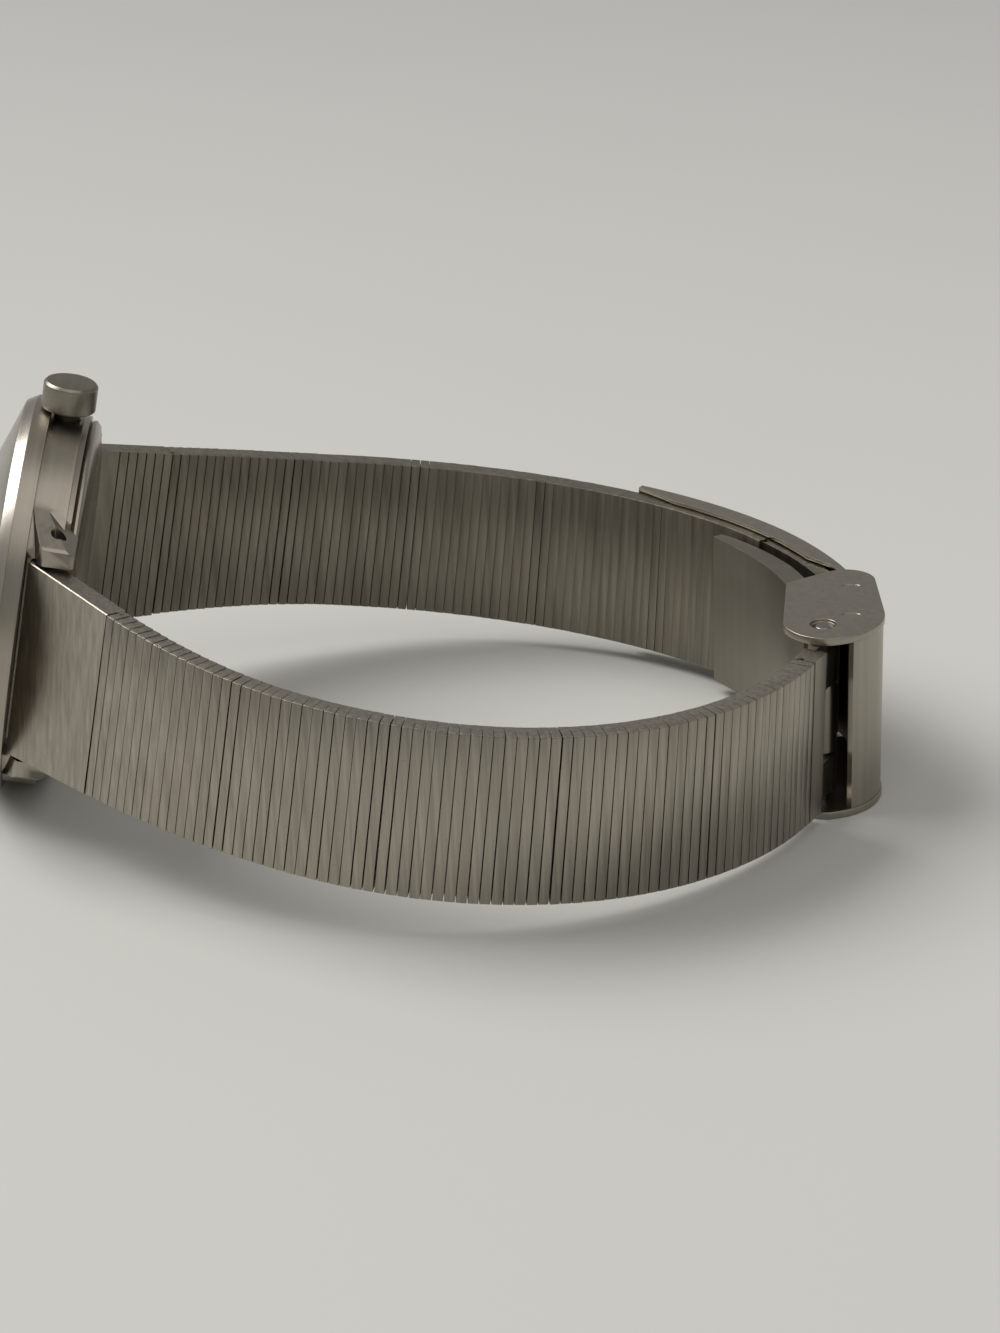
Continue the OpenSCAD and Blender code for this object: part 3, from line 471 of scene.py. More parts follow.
@dataclass(frozen=True)
class MetalFinish:
    """A metal surface with brush lines, smudges, hairlines and specks."""

    name: str
    colour: Triple
    roughness: float
    lines: Lines = Lines.NONE
    fineness: float = 1.0
    line_depth: float = 0.003
    tone: float = 0.06
    smudge: float = 0.05
    smudge_tint: Triple = (0.9, 0.84, 0.76)
    smudge_share: float = 0.3
    speck_colour: tuple[float, ...] = (0.05, 0.04, 0.03, 1)
    speck_share: float = 0.35
    uneven: float = 0.12
    scratch: float = -0.6

    def vector(self, t: Tree, coords: bpy.types.NodeSocket) -> bpy.types.NodeSocket:
        """Stretch the coordinates along the brush lines.

        Args:
            t: The material's builder.
            coords: Object coordinates.

        Returns:
            The stretched coordinates.
        """
        if self.lines in (Lines.UPRIGHT, Lines.NONE):
            return t.vector("MULTIPLY", coords, self.lines.value).outputs[0]
        case = t.node("ShaderNodeGroup", {0: coords}, node_tree=Groups.case_coordinates()).outputs
        if self.lines is Lines.RADIAL_DIAL:
            return t.vector("MULTIPLY", case["Wrapped vector"], self.lines.value).outputs[0]
        axes = zip(("Round", "Radius", "Along"), self.lines.value)
        return t.combined(*(t.math("MULTIPLY", case[name], stretch) for name, stretch in axes))

    def build(self) -> bpy.types.Material:
        """Build the finish.

        Returns:
            The material.
        """
        material, t, shader, coords = new_material(self.name)
        lines = t.node("ShaderNodeGroup", {0: self.vector(t, coords), 1: self.fineness},
                       node_tree=Groups.brushed()).outputs
        marks = t.node("ShaderNodeGroup", {0: t.scaled(coords, 1 / MM)},
                       node_tree=Groups.handling()).outputs
        base = t.mix(t.remap(lines["Tone"], 0.3, 0.7), tinted(self.colour, 1 - self.tone),
                     tinted(self.colour, 1 + self.tone))
        base = t.mix(t.math("MULTIPLY", marks["Smudge"], self.smudge_share), base,
                     tinted(self.colour, self.smudge_tint))
        base = t.mix(t.math("MULTIPLY", marks["Speck"], self.speck_share), base, self.speck_colour)
        rough = t.math("MULTIPLY_ADD", marks["Smudge"], self.smudge, self.roughness)
        rough = t.math("MULTIPLY_ADD", t.math("SUBTRACT", lines["Tone"], 0.5), self.uneven, rough)
        bump = t.node("ShaderNodeBump", {
            "Height": t.math("MULTIPLY_ADD", marks["Scratch"], self.scratch, lines["Height"]),
            "Strength": 1.0, "Distance": self.line_depth * MM,
        })
        t.feed(shader, {"Base Color": base, "Roughness": rough, "Normal": bump.outputs[0],
                        "Metallic": 1.0})
        return material


@dataclass(frozen=True)
class SolidFinish:
    """Paint, rubber or plastic with a fine grain."""

    name: str
    colour: Triple
    roughness: float
    grain: float = 0.004
    cloud: float = 0.92
    uneven: float = 0.1

    def build(self) -> bpy.types.Material:
        """Build the finish.

        Returns:
            The material.
        """
        material, t, shader, coords = new_material(self.name)
        grain = t.noise(coords, scale=9000.0, detail=3.0)
        cloud = t.noise(coords, scale=350.0)
        bump = t.node("ShaderNodeBump", {"Height": grain, "Distance": self.grain * MM})
        t.feed(shader, {
            "Base Color": t.mix(cloud, tinted(self.colour, self.cloud), self.colour + (1.0,)),
            "Roughness": t.math("MULTIPLY_ADD", cloud, self.uneven,
                                self.roughness - self.uneven / 2),
            "Normal": bump.outputs[0],
        })
        return material


@dataclass(frozen=True)
class GlassFinish:
    """The crystal: clear glass with faint wipe marks."""

    name: str = "crystal glass"
    colour: tuple[float, ...] = (0.97, 0.98, 0.98, 1)
    ior: float = 1.5
    roughness: float = 0.02
    wipe: float = 0.06

    def build(self) -> bpy.types.Material:
        """Build the finish.

        Returns:
            The material.
        """
        material, t, shader, coords = new_material(self.name)
        marks = t.noise(coords, scale=260.0, detail=4.0)
        t.feed(shader, {
            "Roughness": t.remap(marks, 0.5, 0.8, self.roughness, self.roughness + self.wipe),
            "Base Color": self.colour, "Transmission Weight": 1.0, "IOR": self.ior,
        })
        return material


STEEL = (0.37, 0.34, 0.292)
# A darker copy of STEEL: painted shade for faces that lie in shadow.
PAINTED_SHADE_STEEL = (0.27, 0.247, 0.205)
POLISH = (0.44, 0.415, 0.37)


FINISHES = {
    "link_steel": MetalFinish(
        "brushed link steel", STEEL, 0.31, Lines.UPRIGHT,
        line_depth=0.014, tone=0.2, smudge=0.07),
    # Far band: darker steel, painted shade where shadow falls inside the loop.
    "painted_shade_link_steel": MetalFinish(
        "dull inner link steel", PAINTED_SHADE_STEEL, 0.36, Lines.UPRIGHT, fineness=0.6,
        line_depth=0.008, tone=0.2, smudge=0.08),
    "edge_steel": MetalFinish(
        "satin plate steel", STEEL, 0.32, Lines.UPRIGHT, fineness=0.8,
        line_depth=0.005, tone=0.07, smudge=0.07),
    # Clasp blade: darker steel, painted shade inside the clasp.
    "painted_shade_blade_steel": MetalFinish(
        "smooth blade steel", PAINTED_SHADE_STEEL, 0.3, Lines.UPRIGHT, fineness=0.5,
        line_depth=0.004, smudge=0.08),
    "case_steel": MetalFinish(
        "case steel", STEEL, 0.27, Lines.ROUND_CASE, smudge=0.1),
    "bezel_steel": MetalFinish(
        "bezel steel", POLISH, 0.24, Lines.ROUND_CASE, fineness=1.2,
        line_depth=0.004, smudge=0.08),
    # Crown: the darker steel copy, painted shade.
    "painted_shade_crown_steel": MetalFinish(
        "crown steel", PAINTED_SHADE_STEEL, 0.3, Lines.ROUND_CASE,
        line_depth=0.005, tone=0.07, smudge=0.08),
    # Crown tube: near-black steel that paints the shadow in the gap under the crown.
    "dark_steel": MetalFinish(
        "dark tube steel", (0.07, 0.064, 0.055), 0.5, tone=0.05),
    "spring_steel": MetalFinish(
        "spring steel", (0.3, 0.29, 0.28), 0.3, tone=0.05),
    "blued_steel": MetalFinish(
        "blued steel", (0.05, 0.1, 0.32), 0.2, line_depth=0.002, tone=0.08),
    "brass": MetalFinish(
        "gilt brass", (0.78, 0.58, 0.28), 0.3, line_depth=0.006),
    "dial": MetalFinish(
        "sunburst dial", (0.72, 0.71, 0.68), 0.34, Lines.RADIAL_DIAL,
        line_depth=0.006, tone=0.07, smudge=0.0),
    "gasket": SolidFinish("black rubber", (0.02, 0.02, 0.02), 0.6),
    "white": SolidFinish("white plastic", (0.8, 0.8, 0.77), 0.4),
    "ink": SolidFinish("dial ink", (0.02, 0.02, 0.025), 0.45, grain=0.001),
    "crystal": GlassFinish(),
}


@cache
def finish_material(name: str) -> bpy.types.Material:
    """Return a finish's material, built on its first use."""
    return FINISHES[name].build()


def new_object(name: str, mesh: bpy.types.Mesh) -> bpy.types.Object:
    """Link a mesh into the scene at the origin.

    Args:
        name: The object's name.
        mesh: The mesh.

    Returns:
        The object.
    """
    obj = bpy.data.objects.new(name, mesh)
    bpy.context.scene.collection.objects.link(obj)
    return obj


def mesh_from(name: str, bm: bmesh.types.BMesh, matrix: Matrix | None = None) -> bpy.types.Object:
    """Turn a bmesh into an object.

    Args:
        name: The piece's name.
        bm: The shape, freed here.
        matrix: Placement written into the vertices.

    Returns:
        The new object, with outward normals.
    """
    if matrix is not None:
        bm.transform(matrix)
    bmesh.ops.recalc_face_normals(bm, faces=bm.faces)
    mesh = bpy.data.meshes.new(name)
    bm.to_mesh(mesh)
    bm.free()
    return new_object(name, mesh)


def smooth(obj: bpy.types.Object, angle: float) -> bpy.types.Object:
    """Shade an object smooth and keep its sharp edges.

    Args:
        obj: The object.
        angle: Edges over this angle, in degrees, stay sharp.

    Returns:
        The same object.
    """
    obj.data.polygons.foreach_set("use_smooth", [True] * len(obj.data.polygons))
    obj.data.set_sharp_from_angle(angle=math.radians(angle))
    return obj


def settle(obj: bpy.types.Object) -> bpy.types.Object:
    """Replace an object's modifiers by the mesh that they make.

    Args:
        obj: The object.

    Returns:
        The same object.
    """
    bpy.context.view_layer.update()
    graph = bpy.context.evaluated_depsgraph_get()
    mesh = bpy.data.meshes.new_from_object(obj.evaluated_get(graph))
    old = obj.data
    obj.modifiers.clear()
    obj.data = mesh
    if old.users == 0:
        bpy.data.meshes.remove(old)
    mesh.name = obj.name
    return obj


def dress(obj: bpy.types.Object, material: bpy.types.Material) -> None:
    """Give an object one material."""
    obj.data.materials.clear()
    obj.data.materials.append(material)


def rounded(points: Sequence[Point2], radius: float, steps: int = 3) -> list[Point2]:
    """Round the corners of a closed outline.

    Args:
        points: Corner points; those on the axis stay as they are.
        radius: Largest rounding radius.
        steps: Segments in each corner.

    Returns:
        The new outline.
    """
    nothing, most = 1e-6, 0.45
    out: list[Point2] = []
    for i, corner in enumerate(points):
        p = Vector(corner)
        a, b = Vector(points[i - 1]) - p, Vector(points[(i + 1) % len(points)]) - p
        if corner[0] < nothing:
            out.append(corner)
            continue
        cut = min(radius, a.length * most, b.length * most)
        start, end = p + a.normalized() * cut, p + b.normalized() * cut
        for k in range(steps + 1):
            t = k / steps
            q = start * (1 - t) ** 2 + p * 2 * t * (1 - t) + end * t**2
            out.append((q.x, q.y))
    return out


def lathe(name: str, outline: Sequence[Point2], matrix: Matrix,
          segments: int) -> bpy.types.Object:
    """Turn a closed outline of (radius, height) round the z axis.

    Args:
        name: The piece's name.
        outline: Closed outline; points on the axis become poles.
        matrix: Placement.
        segments: Segments round the axis.

    Returns:
        The turned piece.
    """
    nothing, sharp = 1e-6, 25
    angles = [2 * math.pi * k / segments for k in range(segments)]
    bm = bmesh.new()
    rings = []
    for r, z in outline:
        ring_angles = angles[:1] if r < nothing else angles
        r = 0 if r < nothing else r
        rings.append([bm.verts.new((r * math.cos(a), r * math.sin(a), z)) for a in ring_angles])
    for i, ring in enumerate(rings):
        nxt = rings[(i + 1) % len(rings)]
        for k in range(segments):
            j = (k + 1) % segments
            quad = [ring[k % len(ring)], ring[j % len(ring)], nxt[j % len(nxt)], nxt[k % len(nxt)]]
            unique = list(dict.fromkeys(quad))
            if len(unique) >= 3:
                bm.faces.new(unique)
    return smooth(mesh_from(name, bm, matrix), sharp)


def wall(bm: bmesh.types.BMesh, lower: Sequence, upper: Sequence) -> None:
    """Join two rings of vertices by side faces.

    Args:
        bm: The bmesh that holds them.
        lower: One ring.
        upper: The other ring, with as many vertices.
    """
    for i in range(len(lower)):
        j = (i + 1) % len(lower)
        bm.faces.new((lower[i], lower[j], upper[j], upper[i]))


def prism(bm: bmesh.types.BMesh, outline: Sequence[Point2], low: float, high: float,
          turn: Matrix = Matrix.Identity(4)) -> None:
    """Add an upright prism to a bmesh.

    Args:
        bm: The bmesh.
        outline: The prism's corners in plan.
        low: Height of its base.
        high: Height of its top.
        turn: How it is turned round the z axis.
    """
    rings = [[bm.verts.new(turn @ Vector((x, y, z))) for x, y in outline] for z in (low, high)]
    bm.faces.new(rings[0])
    bm.faces.new(rings[1])
    wall(bm, *rings)


def ridged_prism(bm: bmesh.types.BMesh, outline: Sequence[Point2], low: float, high: float,
                 ridge: Sequence[Triple], near: Sequence[int],
                 turn: Matrix = Matrix.Identity(4)) -> None:
    """Add a prism whose top slopes up to a ridge.

    Args:
        bm: The bmesh.
        outline: The prism's corners in plan.
        low: Height of its base.
        high: Height of its rim.
        ridge: The ridge's points.
        near: Number of the ridge point that each corner slopes to.
        turn: How it is turned round the z axis.
    """
    base, rim = ([bm.verts.new(turn @ Vector((x, y, z))) for x, y in outline]
                 for z in (low, high))
    top = [bm.verts.new(turn @ Vector(point)) for point in ridge]
    bm.faces.new(base)
    wall(bm, base, rim)
    for i in range(len(rim)):
        j = (i + 1) % len(rim)
        bm.faces.new(list(dict.fromkeys((rim[i], rim[j], top[near[j]], top[near[i]]))))


@dataclass
class Watch:
    """What every sub-assembly needs: the frame, and how a piece is made and handed over."""

    frame: dict
    merge: float = 0.0002
    flat_angle: float = math.radians(0.4)
    edge_angle: float = math.radians(32)
    least_edge: float = 0.3
    least_area: float = 0.05
    sharp: float = 48

    def hand_over(self, piece: bpy.types.Object, body: str, finish: str, *nodes: str) -> None:
        """Dress a piece, tie it to its body and let it stand for CAD nodes.

        Args:
            piece: The finished piece.
            body: The CAD body that it rides on.
            finish: The finish's name in the table.
            *nodes: CAD nodes that it stands for.
        """
        dress(piece, finish_material(finish))
        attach(piece, body)
        if nodes:
            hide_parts(*nodes)
        LOG.info("%s rides on %s, %d faces", piece.name, body, len(piece.data.polygons))

    def merged_copy(self, node: str, name: str) -> bpy.types.Object:
        """Copy a CAD node's mesh with its loose triangles joined.

        Args:
            node: The CAD node.
            name: The copy's name.

        Returns:
            The copy, with flat faces made whole.
        """
        bm = bmesh.new()
        bm.from_mesh(self.frame["nodes"][node].data)
        bmesh.ops.remove_doubles(bm, verts=bm.verts, dist=self.merge * MM)
        bmesh.ops.dissolve_limit(bm, angle_limit=self.flat_angle, verts=bm.verts, edges=bm.edges)
        mesh = bpy.data.meshes.new(name)
        bm.to_mesh(mesh)
        bm.free()
        return new_object(name, mesh)

    def mark_edges(self, piece: bpy.types.Object, chosen: Callable[[Vector], bool]) -> None:
        """Mark the long edges beside faces of some size that get eased.

        Args:
            piece: The piece to be eased.
            chosen: Says whether an edge is eased, from its middle point.
        """
        bm = bmesh.new()
        bm.from_mesh(piece.data)
        layer = bm.edges.layers.float.new("bevel_weight_edge")
        for edge in bm.edges:
            if len(edge.link_faces) != 2 or edge.calc_length() < self.least_edge * MM:
                continue
            if edge.calc_face_angle(0.0) < self.edge_angle:
                continue
            small = min(face.calc_area() for face in edge.link_faces)
            middle = (edge.verts[0].co + edge.verts[1].co) / 2
            if small > self.least_area * MM * MM and chosen(middle):
                edge[layer] = 1.0
        bm.to_mesh(piece.data)
        bm.free()

    def eased(self, node: str, name: str, ease: float, cutters: Sequence = (),
              chosen: Callable[[Vector], bool] | None = None) -> bpy.types.Object:
        """Copy a CAD node and ease its edges, so that they catch the light.

        Args:
            node: The CAD node.
            name: The piece's name.
            ease: Width of the eased edge.
            cutters: Objects cut out of the copy once its edges are eased.
            chosen: Says which long edges are eased, from their middle points; all if left out.

        Returns:
            The eased piece.
        """
        piece = self.merged_copy(node, name)
        bevel = piece.modifiers.new("ease", "BEVEL")
        bevel.width, bevel.segments = ease * MM, 2
        bevel.use_clamp_overlap = True
        if chosen:
            self.mark_edges(piece, chosen)
            bevel.limit_method = "WEIGHT"
        else:
            bevel.limit_method, bevel.angle_limit = "ANGLE", self.edge_angle
        settle(piece)
        for cutter in cutters:
            cut = piece.modifiers.new("cut", "BOOLEAN")
            cut.operation, cut.object, cut.solver = "DIFFERENCE", cutter, "EXACT"
        if cutters:
            settle(piece)
            for cutter in cutters:
                bpy.data.objects.remove(cutter)
        smooth(piece, self.sharp)
        normals = piece.modifiers.new("normals", "WEIGHTED_NORMAL")
        normals.keep_sharp = True
        return settle(piece)


class LinkRowTree:
    """The geometry tree that sets one cross bar on each point of a row."""

    INPUTS = {
        "Cross bar": "NodeSocketObject", "Width play": "NodeSocketFloat",
        "Slide play": "NodeSocketFloat", "Height play": "NodeSocketFloat",
        "Seed": "NodeSocketInt", "Finish": "NodeSocketMaterial",
    }

    def __init__(self) -> None:
        """Build the tree with its named inputs."""
        self.group = bpy.data.node_groups.new("Cross bar row", "GeometryNodeTree")
        face = self.group.interface
        face.new_socket("Points", in_out="INPUT", socket_type="NodeSocketGeometry")
        self.sockets = {
            name: face.new_socket(name, in_out="INPUT", socket_type=kind).identifier
            for name, kind in self.INPUTS.items()
        }
        face.new_socket("Row", in_out="OUTPUT", socket_type="NodeSocketGeometry")
        t = Tree(self.group)
        inp, out = t.node("NodeGroupInput").outputs, t.node("NodeGroupOutput").inputs

        def carried(name: str, kind: str = "FLOAT") -> bpy.types.NodeSocket:
            """Return a value that the points carry."""
            return t.node("GeometryNodeInputNamedAttribute", {"Name": name},
                          data_type=kind).outputs["Attribute"]

        def play(name: str, step: int) -> bpy.types.NodeSocket:
            """Return a random value between minus and plus a named input."""
            values = {2: t.math("MULTIPLY", inp[name], -1.0), 3: inp[name],
                      "Seed": t.math("ADD", inp["Seed"], float(step))}
            return t.node("FunctionNodeRandomValue", values, data_type="FLOAT").outputs[1]

        bar = t.node("GeometryNodeObjectInfo", {"Object": inp["Cross bar"]})
        turn = t.node("FunctionNodeEulerToRotation", {0: carried("turn", "FLOAT_VECTOR")})
        wide = t.math("ADD", play("Width play", 1), carried("slim"))
        tall = t.math("MULTIPLY", carried("width"), t.math("ADD", play("Height play", 2), 1.0))
        rows = t.node("GeometryNodeInstanceOnPoints", {
            "Points": inp["Points"], "Instance": bar.outputs["Geometry"],
            "Rotation": turn.outputs[0], "Scale": t.combined(wide, 1.0, tall),
        })
        moved = t.node("GeometryNodeTranslateInstances", {
            "Instances": rows.outputs[0], "Local Space": True,
            "Translation": t.combined(play("Slide play", 3), 0.0, 0.0),
        })
        real = t.node("GeometryNodeRealizeInstances", {0: moved.outputs[0]})
        finish = t.node("GeometryNodeSetMaterial", {
            "Geometry": real.outputs[0], "Material": inp["Finish"],
        })
        t.feed(out, {0: finish.outputs[0]})

    def apply(self, obj: bpy.types.Object, values: dict[str, object]) -> bpy.types.Object:
        """Run the tree on a mesh of points.

        Args:
            obj: The points, which the row replaces.
            values: The tree's inputs by name.

        Returns:
            The row of bars.
        """
        modifier = obj.modifiers.new("row", "NODES")
        modifier.node_group = self.group
        for name, value in values.items():
            modifier[self.sockets[name]] = value
        obj.update_tag()
        return settle(obj)


@dataclass
class Bracelet:
    """The tapering band of narrow cross bars, its end pieces and its clasp ends."""

    watch: Watch
    thick: float = 1.8
    tongue_y: float = -0.35
    neck_half: float = 0.11
    neck_out: float = 0.05
    nominal_w: float = 14.0
    outer_eases: tuple[float, ...] = (0.012, 0.018, 0.02, 0.02, 0.014)
    inner_eases: tuple[float, ...] = (0.10, 0.09, 0.06, 0.025, 0.012)
    ease_mid: float = 0.3
    tip_levels: tuple[Point2, ...] = ((0.0, 0.11), (0.035, 0.04), (0.12, 0.0))
    width_play: float = 0.004
    height_play: float = 0.0016
    seed_step: int = 17
    border_slim: float = 0.92
    rim_depth: float = 0.3
    rim_inset: float = 0.25
    end_eases: tuple[tuple[Course, str, float], ...] = (
        (NEAR, "end_piece", 0.13), (FAR, "end_piece", 0.06),
        (NEAR, "clasp_end", 0.05), (FAR, "ladder_end", 0.03))

    def bar_outline(self, half: float, group: int) -> list[Point2]:
        """Draw a group's bar section: x along the band, y outward.

        Args:
            half: Half the bar's width along the band.
            group: The group's number, from 1.

        Returns:
            The closed outline.
        """
        h, t, m, neck = half, self.thick / 2, self.ease_mid, half + self.neck_out
        o, i = self.outer_eases[group - 1], self.inner_eases[group - 1]
        low, high = self.tongue_y - self.neck_half, self.tongue_y + self.neck_half
        return [
            (-h + i, -t), (h - i, -t), (h - i * m, -t + i * m), (h, -t + i),
            (h, low), (neck, low), (neck, high), (h, high),
            (h, t - o), (h - o * m, t - o * m), (h - o, t),
            (-h + o, t), (-h + o * m, t - o * m), (-h, t - o),
            (-h, -t + i), (-h + i * m, -t + i * m),
        ]

    def cross_bar(self, course: Course, group: int) -> bpy.types.Object:
        """Make one group's cross bar with softened ends.

        Args:
            course: The band half.
            group: The group's number, from 1.

        Returns:
            The bar, lying along z at the origin.
        """
        gap, t, sharp = course.gaps[group - 1], self.thick / 2, 30
        outline = self.bar_outline((course.pitch - gap) / 2, group)
        half = self.nominal_w / 2
        rings = ([(-half + z, ease) for z, ease in self.tip_levels]
                 + [(half - z, ease) for z, ease in reversed(self.tip_levels)])
        bm = bmesh.new()
        made = [[bm.verts.new((x, y * (1 - ease / t), z)) for x, y in outline]
                for z, ease in rings]
        for lower, upper in zip(made, made[1:]):
            wall(bm, lower, upper)
        bm.faces.new(made[0])
        bm.faces.new(made[-1])
        return smooth(mesh_from("cross_bar", bm, Matrix.Scale(MM, 4)), sharp)

    def outer_edge(self, course: Course) -> Callable[[Vector], bool]:
        """Make a test for an end piece's outer long edges.

        Args:
            course: The band half.

        Returns:
            A function that says whether a point lies on such an edge.
        """
        mid = course.end_len / 2
        inverse = course.matrix(course.trail(), mid).inverted()

        def test(point: Vector) -> bool:
            """Say whether a point lies on an outer long edge."""
            x, y, z = inverse @ point
            return (y > self.thick / 2 - self.rim_depth
                    and abs(z) > course.width(mid + x) / 2 - self.rim_inset)

        return test

    def row_points(self, course: Course, group: int) -> bpy.types.Object:
        """Find the places of one group's bars.

        Args:
            course: The band half.
            group: The group's number, from 1.

        Returns:
            A mesh of loose points that carry their turn, width and slimness.
        """
        trail = course.trail()
        count = course.links_per_group
        spots, turns, widths, slims = [], [], [], []
        for i in range((group - 1) * count, group * count):
            s = course.end_len + (i + 0.5) * course.pitch
            place = course.matrix(trail, s)
            spots.append(place.translation.copy())
            turns.extend(place.to_euler("XYZ"))
            widths.append(course.width(s) / self.nominal_w)
            slims.append(self.border_slim if i % count in (0, count - 1) else 1.0)
        mesh = bpy.data.meshes.new("places")
        mesh.from_pydata(spots, [], [])
        mesh.attributes.new("turn", "FLOAT_VECTOR", "POINT").data.foreach_set("vector", turns)
        for name, values in (("width", widths), ("slim", slims)):
            mesh.attributes.new(name, "FLOAT", "POINT").data.foreach_set("value", values)
        return new_object(f"{course.name}_cross_bars_{group}", mesh)

    def build(self) -> None:
        """Build and hand over every piece of the band."""
        tree = LinkRowTree()
        for course in (NEAR, FAR):
            for group in range(1, GROUPS + 1):
                bar = self.cross_bar(course, group)
                row = tree.apply(self.row_points(course, group), {
                    "Cross bar": bar, "Width play": self.width_play,
                    "Slide play": course.slide_play * MM, "Height play": self.height_play,
                    "Seed": self.seed_step * group + course.side.value,
                    "Finish": finish_material(course.finish),
                })
                bpy.data.objects.remove(bar)
                node = f"{course.name}_links_{group}"
                self.watch.hand_over(row, node, course.finish, node)
        for course, end, ease in self.end_eases:
            node = f"{course.name}_{end}"
            chosen = self.outer_edge(NEAR) if node == "near_end_piece" else None
            piece = self.watch.eased(node, f"eased_{node}", ease, chosen=chosen)
            self.watch.hand_over(piece, node, course.finish, node)


@dataclass
class Clasp:
    """The folding ladder clasp: cover, side plates, pin and inner blade."""

    watch: Watch
    height: float = 15.1
    pin_ahead: float = 5.45
    pin_r: float = 0.6
    pin_short: float = 0.15
    pin_soft: float = 0.12
    marks: tuple[Point2, ...] = ((2.84, 7.5), (2.27, 1.65))
    mark_r: float = 0.75
    mark_squash: float = 0.55
    mark_inner: Point2 = (0.78, 0.42)
    mark_shift: float = 0.02
    mark_steps: int = 12
    mark_depth: float = 0.4
    groove: Point2 = (0.04, 0.37)
    groove_depth: float = 0.54
    past: float = 1.0
    segments: int = 48
    sheet_ease: float = 0.05
    plate_ease: float = 0.07

    def at_pin(self, aside: Point2 = (0, 0)) -> Matrix:
        """Place something beside the hinge pin.

        Args:
            aside: How far it lies from the pin in plan.

        Returns:
            The placement, in metres.
        """
        s = NEAR.end_len + GROUPS * NEAR.links_per_group * NEAR.pitch + self.pin_ahead
        p = NEAR.spot(NEAR.trail(), s)
        x, y = p.x - STANCE.centre[0], p.y - STANCE.centre[1]
        return Matrix.Scale(MM, 4) @ Matrix.Translation((x + aside[0], y + aside[1], 0))

    def crescent(self, spot: Point2, low: float, high: float) -> bpy.types.Object:
        """Make the cutter of a crescent-shaped punch mark.

        Args:
            spot: Where it lies from the pin in plan.
            low: Height of its base.
            high: Height of its top.

        Returns:
            The cutter.
        """
        r, steps = self.mark_r, self.mark_steps
        outer = [(r * math.cos(a), r * math.sin(a) * self.mark_squash)
                 for a in (math.pi * k / steps for k in range(steps + 1))]
        inner = [(x * self.mark_inner[0], y * self.mark_inner[1] - self.mark_shift)
                 for x, y in reversed(outer)]
        bm = bmesh.new()
        prism(bm, outer + inner, low, high)
        return mesh_from("mark", bm, self.at_pin(spot))

    def pin_groove(self, low: float, high: float) -> bpy.types.Object:
        """Make the cutter of the dark groove round the pin's end.

        Args:
            low: Height of its base.
            high: Height of its top.

        Returns:
            The cutter.
        """
        inner, outer = (self.pin_r + out for out in self.groove)
        outline = [(inner, low), (outer, low), (outer, high), (inner, high)]
        return lathe("groove", outline, self.at_pin(), self.segments)

    def build(self) -> None:
        """Build and hand over every piece of the clasp."""
        top, past, low = self.height, self.past, self.pin_short
        cutters = [self.crescent(spot, top - self.mark_depth, top + past) for spot in self.marks]
        cutters.append(self.pin_groove(top - self.groove_depth, top + past))
        cutters.append(self.pin_groove(-past, self.groove_depth))
        plates = self.watch.eased("clasp_side_plates", "clasp_plates", self.plate_ease, cutters)
        self.watch.hand_over(plates, "clasp_cover", "edge_steel", "clasp_side_plates")
        cover = self.watch.eased("clasp_cover", "clasp_cover_sheet", self.sheet_ease)
        self.watch.hand_over(cover, "clasp_cover", "edge_steel", "clasp_cover")
        blade = self.watch.eased("clasp_blade", "clasp_blade_sheet", self.sheet_ease)
        # The blade's finish is the darker steel copy: painted shade.
        self.watch.hand_over(blade, "clasp_blade", "painted_shade_blade_steel", "clasp_blade")
        outline = [(0, low), (self.pin_r, low), (self.pin_r, top - low), (0, top - low)]
        pin = lathe("clasp_hinge_pin", rounded(outline, self.pin_soft), self.at_pin(),
                    self.segments)
        self.watch.hand_over(pin, "clasp_cover", "spring_steel", "clasp_pin")


